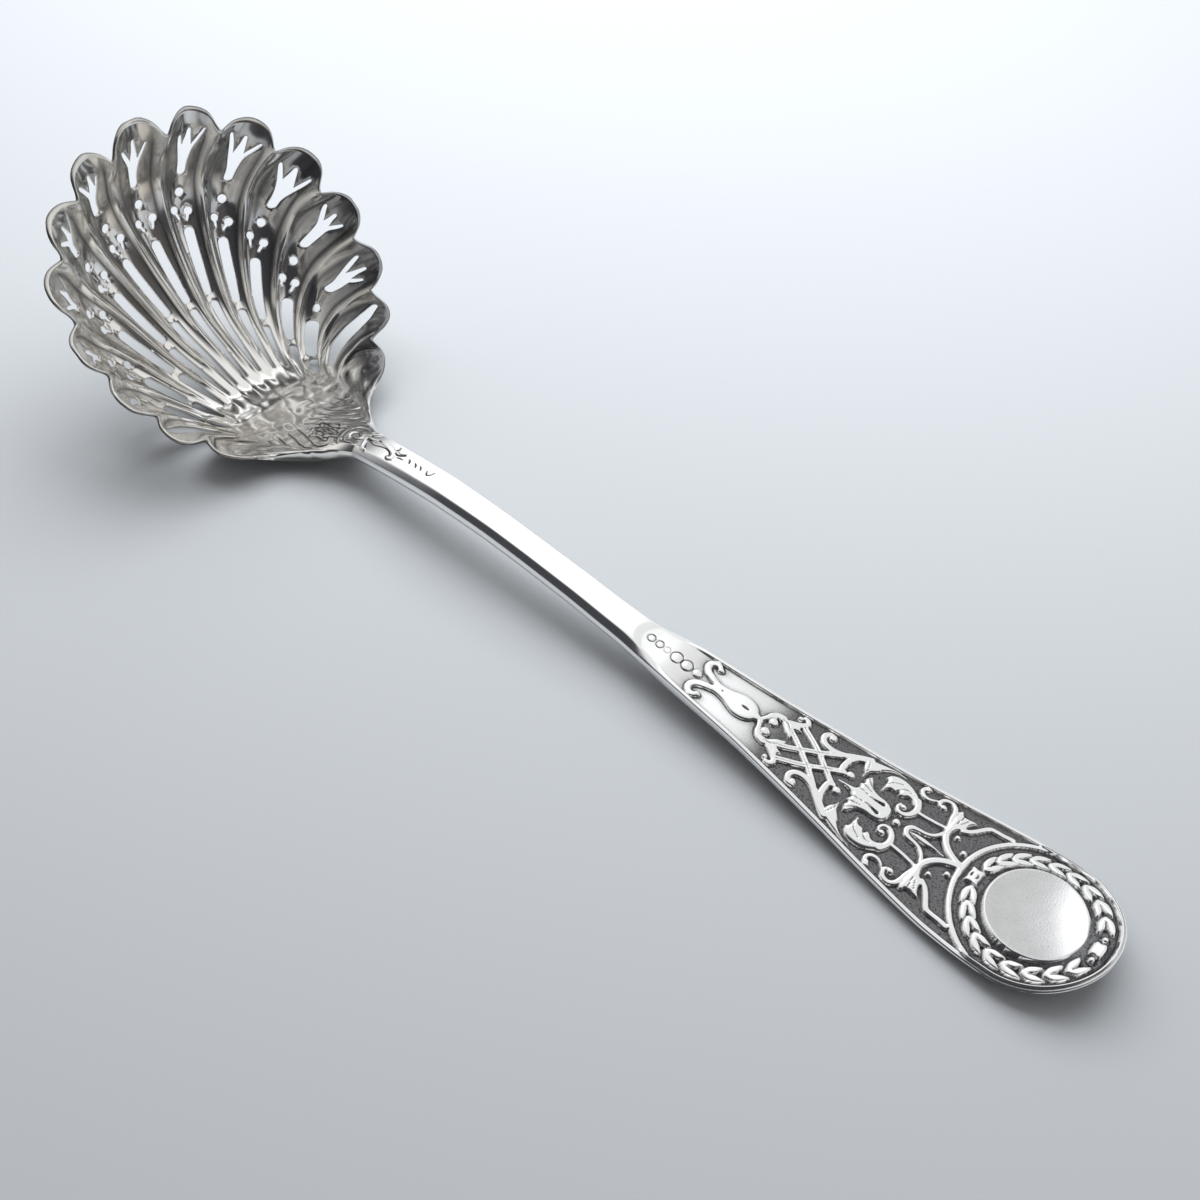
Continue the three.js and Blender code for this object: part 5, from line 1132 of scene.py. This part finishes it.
def disc_z(x, y):
    """The cartouche: a dished disc, tilted with the end, with a rounded rim; minus infinity outside it."""
    q = np.hypot(x, y)
    z = float(top_z(0)) - SINK + 0.22 + 0.06 * x - 0.015 * y + 0.38 * (q / 5.2) ** 2
    rim = np.clip((CARTOUCHE_R - q) / 0.28, 0, 1)
    return np.where(q < CARTOUCHE_R, z - 0.42 * (1 - np.sqrt(1 - (1 - rim) ** 2)), -np.inf)


TOPS = sum(DIVIDE[:3])  # up to the foot of the border


def dressed(x, y, z, ground):
    """The top with its ornament: its height, the ornament's own height and the depth of the cuts."""
    h, cut = relief_of(x, y)
    part = np.maximum(np.clip(ground / SINK, 0, 1), 1 - smooth(-90.2, -89.6, x))
    # the stem's flat top ends in a shallow scoop with a round end
    scoop = 0.08 * smooth(0, 1.3, x + 54.9 - 0.28 * y * y) * (1 - smooth(-50, -45.5, x))
    z2 = np.maximum(z - scoop + h * part - cut * (0.45 + 0.55 * part), disc_z(x, y))
    return z2, h, cut


def skin(stations_x, stations_y, stations_z, dark, name, slot_name, node, material, cap0=True, cap1=True, wrap=None):
    ns, nk = stations_x.shape
    n = 2 * nk - 2
    ring = np.zeros((ns, n, 3))
    tone = np.zeros((ns, n))
    ring[:, :nk, 0], ring[:, :nk, 1], ring[:, :nk, 2] = stations_x, stations_y[0], stations_z[0]
    back = slice(nk - 2, 0, -1)
    ring[:, nk:, 0], ring[:, nk:, 1], ring[:, nk:, 2] = stations_x[:, back], -stations_y[1][:, back], stations_z[1][:, back]
    tone[:, :nk], tone[:, nk:] = dark[0], dark[1][:, back]
    pts = [ring.reshape(-1, 3)]
    tones = [tone.ravel()]
    i, j = np.meshgrid(np.arange(ns - 1), np.arange(n), indexing="ij")
    a = i * n + j
    b = i * n + (j + 1) % n
    faces = [np.stack([a, b, b + n, a + n], -1).reshape(-1, 4)]
    count = ns * n
    tri_list = []
    for flag, k, flip in ((cap0, 0, False), (cap1, ns - 1, True)):
        if not flag:
            continue
        c = ring[k].mean(0)
        pts += [c[None], ring[k]]
        tones += [np.zeros(1), tone[k]]
        jj2 = np.arange(n)
        t = np.stack([np.full(n, count), count + 1 + (jj2 + 1) % n, count + 1 + jj2], -1)
        tri_list.append(t[:, ::-1] if flip else t)
        count += 1 + n
    flat = sum(len(t) for t in tri_list)
    if wrap is not None:
        extra_pts, extra_tone, extra_quads, extra_tris = wrap(ring[-1], (ns - 1) * n, count, n)
        pts.append(extra_pts)
        tones.append(extra_tone)
        faces += [extra_quads, extra_tris]
    return mesh_object(name, np.vstack(pts), faces + tri_list, slot_name, [node], material, {"oxide_and_shade": np.concatenate(tones)}, flat)


def shade(x, y, cut, rel, g):
    """Darkness from the shape: the ground, the feet of the ornament, and the cuts, and a painted shade across the plain
    disc. rel is the height grid above the ground.
    """
    blurred = soften(soften(rel, 9, 0), 9, 1)
    cavity = np.clip((blurred - rel) / 0.085, 0, 1)
    wide = soften(soften(rel, 60, 0), 60, 1)
    near = np.clip((wide - rel) / 0.16, 0, 1)
    sunk_ground = (1 - smooth(0.03, 0.16, rel)) * smooth(0.0, 0.3, g)
    strength = (0.08 + 0.46 * near) * (1 - smooth(-37.5, -33.0, x)) + 0.86 * smooth(-37.5, -33.0, x)
    line = np.clip(cavity * (0.35 + 0.65 * smooth(-52, -46, x)), 0, 1)
    on_disc = 1 - smooth(CARTOUCHE_R - 0.3, CARTOUCHE_R - 0.1, np.hypot(x, y))
    disc_grey_and_painted_shade = on_disc * (0.31 - 0.25 * smooth(0.8, 4.2, 0.867 * x + 0.442 * y) + 0.018 * np.sin(1.9 * x + 0.8) * np.sin(1.6 * y - 0.9 * x + 0.5))  # the plain disc is greyer: painted shade, darker towards -x and -y and lighter the other way, with a faint random mottle
    return disc_grey_and_painted_shade + (1 - on_disc) * np.clip(np.maximum(sunk_ground * strength, line * 0.95) + smooth(0.02, 0.13, cut) * 0.85 * (rel < 0.5), 0, 1)


def part_of(xs, name, slot_name, node, material, **kw):
    r, z = sections(xs)
    x = np.repeat(np.asarray(xs, float)[:, None], r.shape[1], 1)
    sides_y, sides_z, sides_d = [], [], []
    g = np.repeat(sink_of(np.asarray(xs, float))[:, None], r.shape[1], 1)
    nt = TOPS + 1
    for m in (1, -1):
        z2 = z.copy()
        h_all = np.zeros_like(z)
        dark = np.zeros_like(z)
        zz, h, cut = dressed(x[:, : nt + 8], r[:, : nt + 8] * m, z[:, : nt + 8], g[:, : nt + 8])
        fade = 1 - smooth(nt - 2, nt + 3, np.arange(nt + 8))[None, :]
        z2[:, : nt + 8] = z[:, : nt + 8] + (zz - z[:, : nt + 8]) * fade
        above = z2[:, : nt + 8] - (crown(x[:, : nt + 8], r[:, : nt + 8]) - g[:, : nt + 8])
        # mirrored across the axis so that the blur meets itself
        wide = np.concatenate([above[:, 1:16][:, ::-1], above], 1)
        gg = np.concatenate([g[:, :15], g[:, : nt + 8]], 1)
        xx = np.concatenate([x[:, :15], x[:, : nt + 8]], 1)
        cc = np.concatenate([cut[:, 1:16][:, ::-1], cut], 1)
        yy = np.concatenate([-r[:, 1:16][:, ::-1], r[:, : nt + 8]], 1)
        d = shade(xx, yy, cc, wide, gg)[:, 15:]
        dark[:, : nt + 8] = d
        sides_y.append(r)
        sides_z.append(z2)
        sides_d.append(dark)
    return skin(x, sides_y, sides_z, sides_d, name, slot_name, node, material, **kw)


stations = np.r_[np.linspace(STEM_X[0], -90.2, 165), np.linspace(-90.2, -55.6, 80)[1:], np.linspace(-55.6, STEM_X[1], 26)[1:]]
part_of(stations, "stem_bar", "stem_silver", "stem", stem_silver)
part_of(np.linspace(STEM_X[0] - 0.5, STEM_X[0], 5), "bowl_solder_seam", "solder_silver", "bowl_solder", joint_silver)
part_of(np.linspace(STEM_X[1], STEM_X[1] + 0.5, 5), "terminal_solder_seam", "solder_silver", "terminal_solder", joint_silver)

PHI = np.linspace(90, -90, 150)


def round_end(last_ring, start, count, n):
    """The half round of the handle end, as rays from its centre; its first and last rays are the last straight section."""
    rays_p, rays_t = [], []
    for phi in PHI[1:-1]:
        a = math.radians(phi)
        ex, ey = 9.4 * math.cos(a), 8.98 * math.sin(a)
        length = math.hypot(ex, ey)
        cx, cy = ex / length, ey / length
        w = np.array([length])
        r, z = dense(end_corners(np.array([-0.5]), w, lambda q: -0.5 + q * cx, lambda q: q * cy))
        rays_p.append(np.stack([-0.5 + r[0] * cx, r[0] * cy, z[0]], -1))
    P = np.array(rays_p)  # [ray, point, xyz]
    nt = TOPS + 9
    x, y = P[:, :nt, 0], P[:, :nt, 1]
    ground = crown(x, y) - SINK
    fade = 1 - smooth(TOPS - 1, TOPS + 4, np.arange(nt))[None, :]
    base_z = P[:, :nt, 2] * 1.0
    flat = np.arange(nt)[None, :] <= TOPS
    base_z = np.where(flat & (np.arange(nt)[None, :] < sum(DIVIDE[:2]) - 1), ground, base_z)
    zz, h, cut = dressed(x, y, base_z, np.full_like(x, SINK))
    z2 = base_z + (zz - base_z) * fade
    rel = z2 - ground
    dark = shade(x, y, cut, rel, np.full_like(x, SINK))
    P[:, :nt, 2] = z2
    tone = np.zeros(P.shape[:2])
    tone[:, :nt] = dark
    nr, nk = P.shape[:2]
    # drop the first and last point of each ray, which are the two centres
    inner_pts = P[:, 1:-1]
    body_tone = tone[:, 1:-1]
    m = nk - 2
    ids = np.zeros((nr + 2, m), int)
    ids[1:-1] = count + np.arange(nr * m).reshape(nr, m)
    ids[0] = start + np.arange(1, nk - 1)
    left = [start + nk + (nk - 2 - k) for k in range(1, nk - 1)]
    ids[-1] = left
    a, b = ids[:-1, :-1], ids[:-1, 1:]
    c, d = ids[1:, 1:], ids[1:, :-1]
    quads2 = np.stack([a, b, c, d], -1).reshape(-1, 4)
    top_c, low_c = start, start + nk - 1
    t1 = np.stack([np.full(nr + 1, top_c), ids[:-1, 0], ids[1:, 0]], -1)
    t2 = np.stack([np.full(nr + 1, low_c), ids[1:, -1], ids[:-1, -1]], -1)
    return inner_pts.reshape(-1, 3), body_tone.ravel(), quads2, np.vstack([t1, t2])


part_of(np.linspace(STEM_X[1] + 0.5, -0.5, 420), "terminal_relief", "terminal_silver", "terminal", end_silver, cap1=False, wrap=round_end)

# ---------------------------------------------------------------- camera
camera = bpy.data.cameras.new("camera")
camera.sensor_fit, camera.sensor_width, camera.lens = "HORIZONTAL", 36.0, 39.84
camera.clip_start, camera.clip_end = 0.005, 20
cam = bpy.data.objects.new("camera", camera)
bpy.context.scene.collection.objects.link(cam)
right = Vector((0.74392, 0.66828, 0.0))
down_v = Vector((0.50511, -0.56228, -0.65477))
forward = Vector((-0.43757, 0.48709, -0.75584))
rot = Matrix((right, -down_v, -forward)).transposed().to_4x4()
cam.matrix_world = Matrix.Translation((0.0803495, -0.0792426, 0.1287187)) @ rot
bpy.context.scene.camera = cam

# ---------------------------------------------------------------- floor and light
floor_mesh = bpy.data.meshes.new("floor")
# the table ends a little before the spoon's front edge of the picture
along = Vector((0.74392, 0.66828, 0))
ahead = Vector((-0.66828, 0.74392, 0))
edge_mid = Vector((0.062, -0.058, -0.00002))
corners = [edge_mid - along * 1.5, edge_mid + along * 1.5, edge_mid + along * 1.5 + ahead * 2.5, edge_mid - along * 1.5 + ahead * 2.5]
floor_mesh.from_pydata([tuple(c) for c in corners], [], [(0, 1, 2, 3)])
floor = bpy.data.objects.new("floor", floor_mesh)
bpy.context.scene.collection.objects.link(floor)
paper = bpy.data.materials.new("floor_paper")
tree, bsdf = nodes_of(paper)
bsdf.inputs["Base Color"].default_value = (0.322, 0.329, 0.339, 1)
bsdf.inputs["Roughness"].default_value = 0.7
bsdf.inputs["Specular IOR Level"].default_value = 0.2
floor.data.materials.append(paper)


def area_light(name, place, aim, size, power, colour, size_y=None):
    data = bpy.data.lights.new(name, "AREA")
    data.shape, data.size, data.size_y = "RECTANGLE", size, size_y or size
    data.energy, data.color = power, colour
    o = bpy.data.objects.new(name, data)
    o.location = place
    o.rotation_mode = "QUATERNION"
    o.rotation_quaternion = (Vector(aim) - Vector(place)).to_track_quat("-Z", "Y")
    bpy.context.scene.collection.objects.link(o)
    return o


# a wide soft window behind the spoon and to its left
window = area_light("window", (-0.150, 0.180, 0.235), (-0.155, 0.200, 0), 0.46, 2.97, (0.93, 0.97, 1.0), 0.38)
window.visible_glossy = False

world = bpy.data.worlds.new("studio")
bpy.context.scene.world = world
world.use_nodes = True
wt = world.node_tree
wt.nodes.clear()
w_out = wt.nodes.new("ShaderNodeOutputWorld")
w_bg = wt.nodes.new("ShaderNodeBackground")
w_tc = wt.nodes.new("ShaderNodeTexCoord")


def toward(azimuth, elevation):
    a, e = math.radians(azimuth), math.radians(elevation)
    return Vector((math.cos(a) * math.cos(e), math.sin(a) * math.cos(e), math.sin(e)))


def lobe(previous, azimuth, elevation, outer_deg, inner_deg, colour):
    """Around a direction the studio has this colour, with a soft edge."""
    dot = wt.nodes.new("ShaderNodeVectorMath")
    dot.operation = "DOT_PRODUCT"
    dot.inputs[1].default_value = toward(azimuth, elevation)
    wt.links.new(w_tc.outputs["Generated"], dot.inputs[0])
    ramp = wt.nodes.new("ShaderNodeMapRange")
    ramp.interpolation_type = "SMOOTHSTEP"
    ramp.inputs["From Min"].default_value = math.cos(math.radians(outer_deg))
    ramp.inputs["From Max"].default_value = math.cos(math.radians(inner_deg))
    wt.links.new(dot.outputs["Value"], ramp.inputs["Value"])
    mix = wt.nodes.new("ShaderNodeMix")
    mix.data_type = "RGBA"
    wt.links.new(ramp.outputs["Result"], mix.inputs[0])
    ins = [q for q in mix.inputs if q.type == "RGBA"]
    if isinstance(previous, tuple):
        ins[0].default_value = (*previous, 1)
    else:
        wt.links.new(previous, ins[0])
    ins[1].default_value = (*colour, 1)
    return next(q for q in mix.outputs if q.type == "RGBA")


sky = lobe((0.86, 0.865, 0.875), -75, -2, 80, 50, (0.055, 0.056, 0.064))  # the darker side of the room
sky = lobe(sky, -5, 5, 40, 15, (0.10, 0.095, 0.095))
sky = lobe(sky, 118, -8, 44, 22, (0.93, 0.95, 0.97))  # the bright table behind the spoon
sky = lobe(sky, 142.5, 49.5, 23, 14.5, (1.42, 1.45, 1.48))  # the window
wt.links.new(sky, w_bg.inputs["Color"])
w_bg.inputs["Strength"].default_value = 1.0
wt.links.new(w_bg.outputs["Background"], w_out.inputs["Surface"])
bpy.context.scene.view_settings.view_transform = "Standard"
bpy.context.scene.view_settings.look = "None"
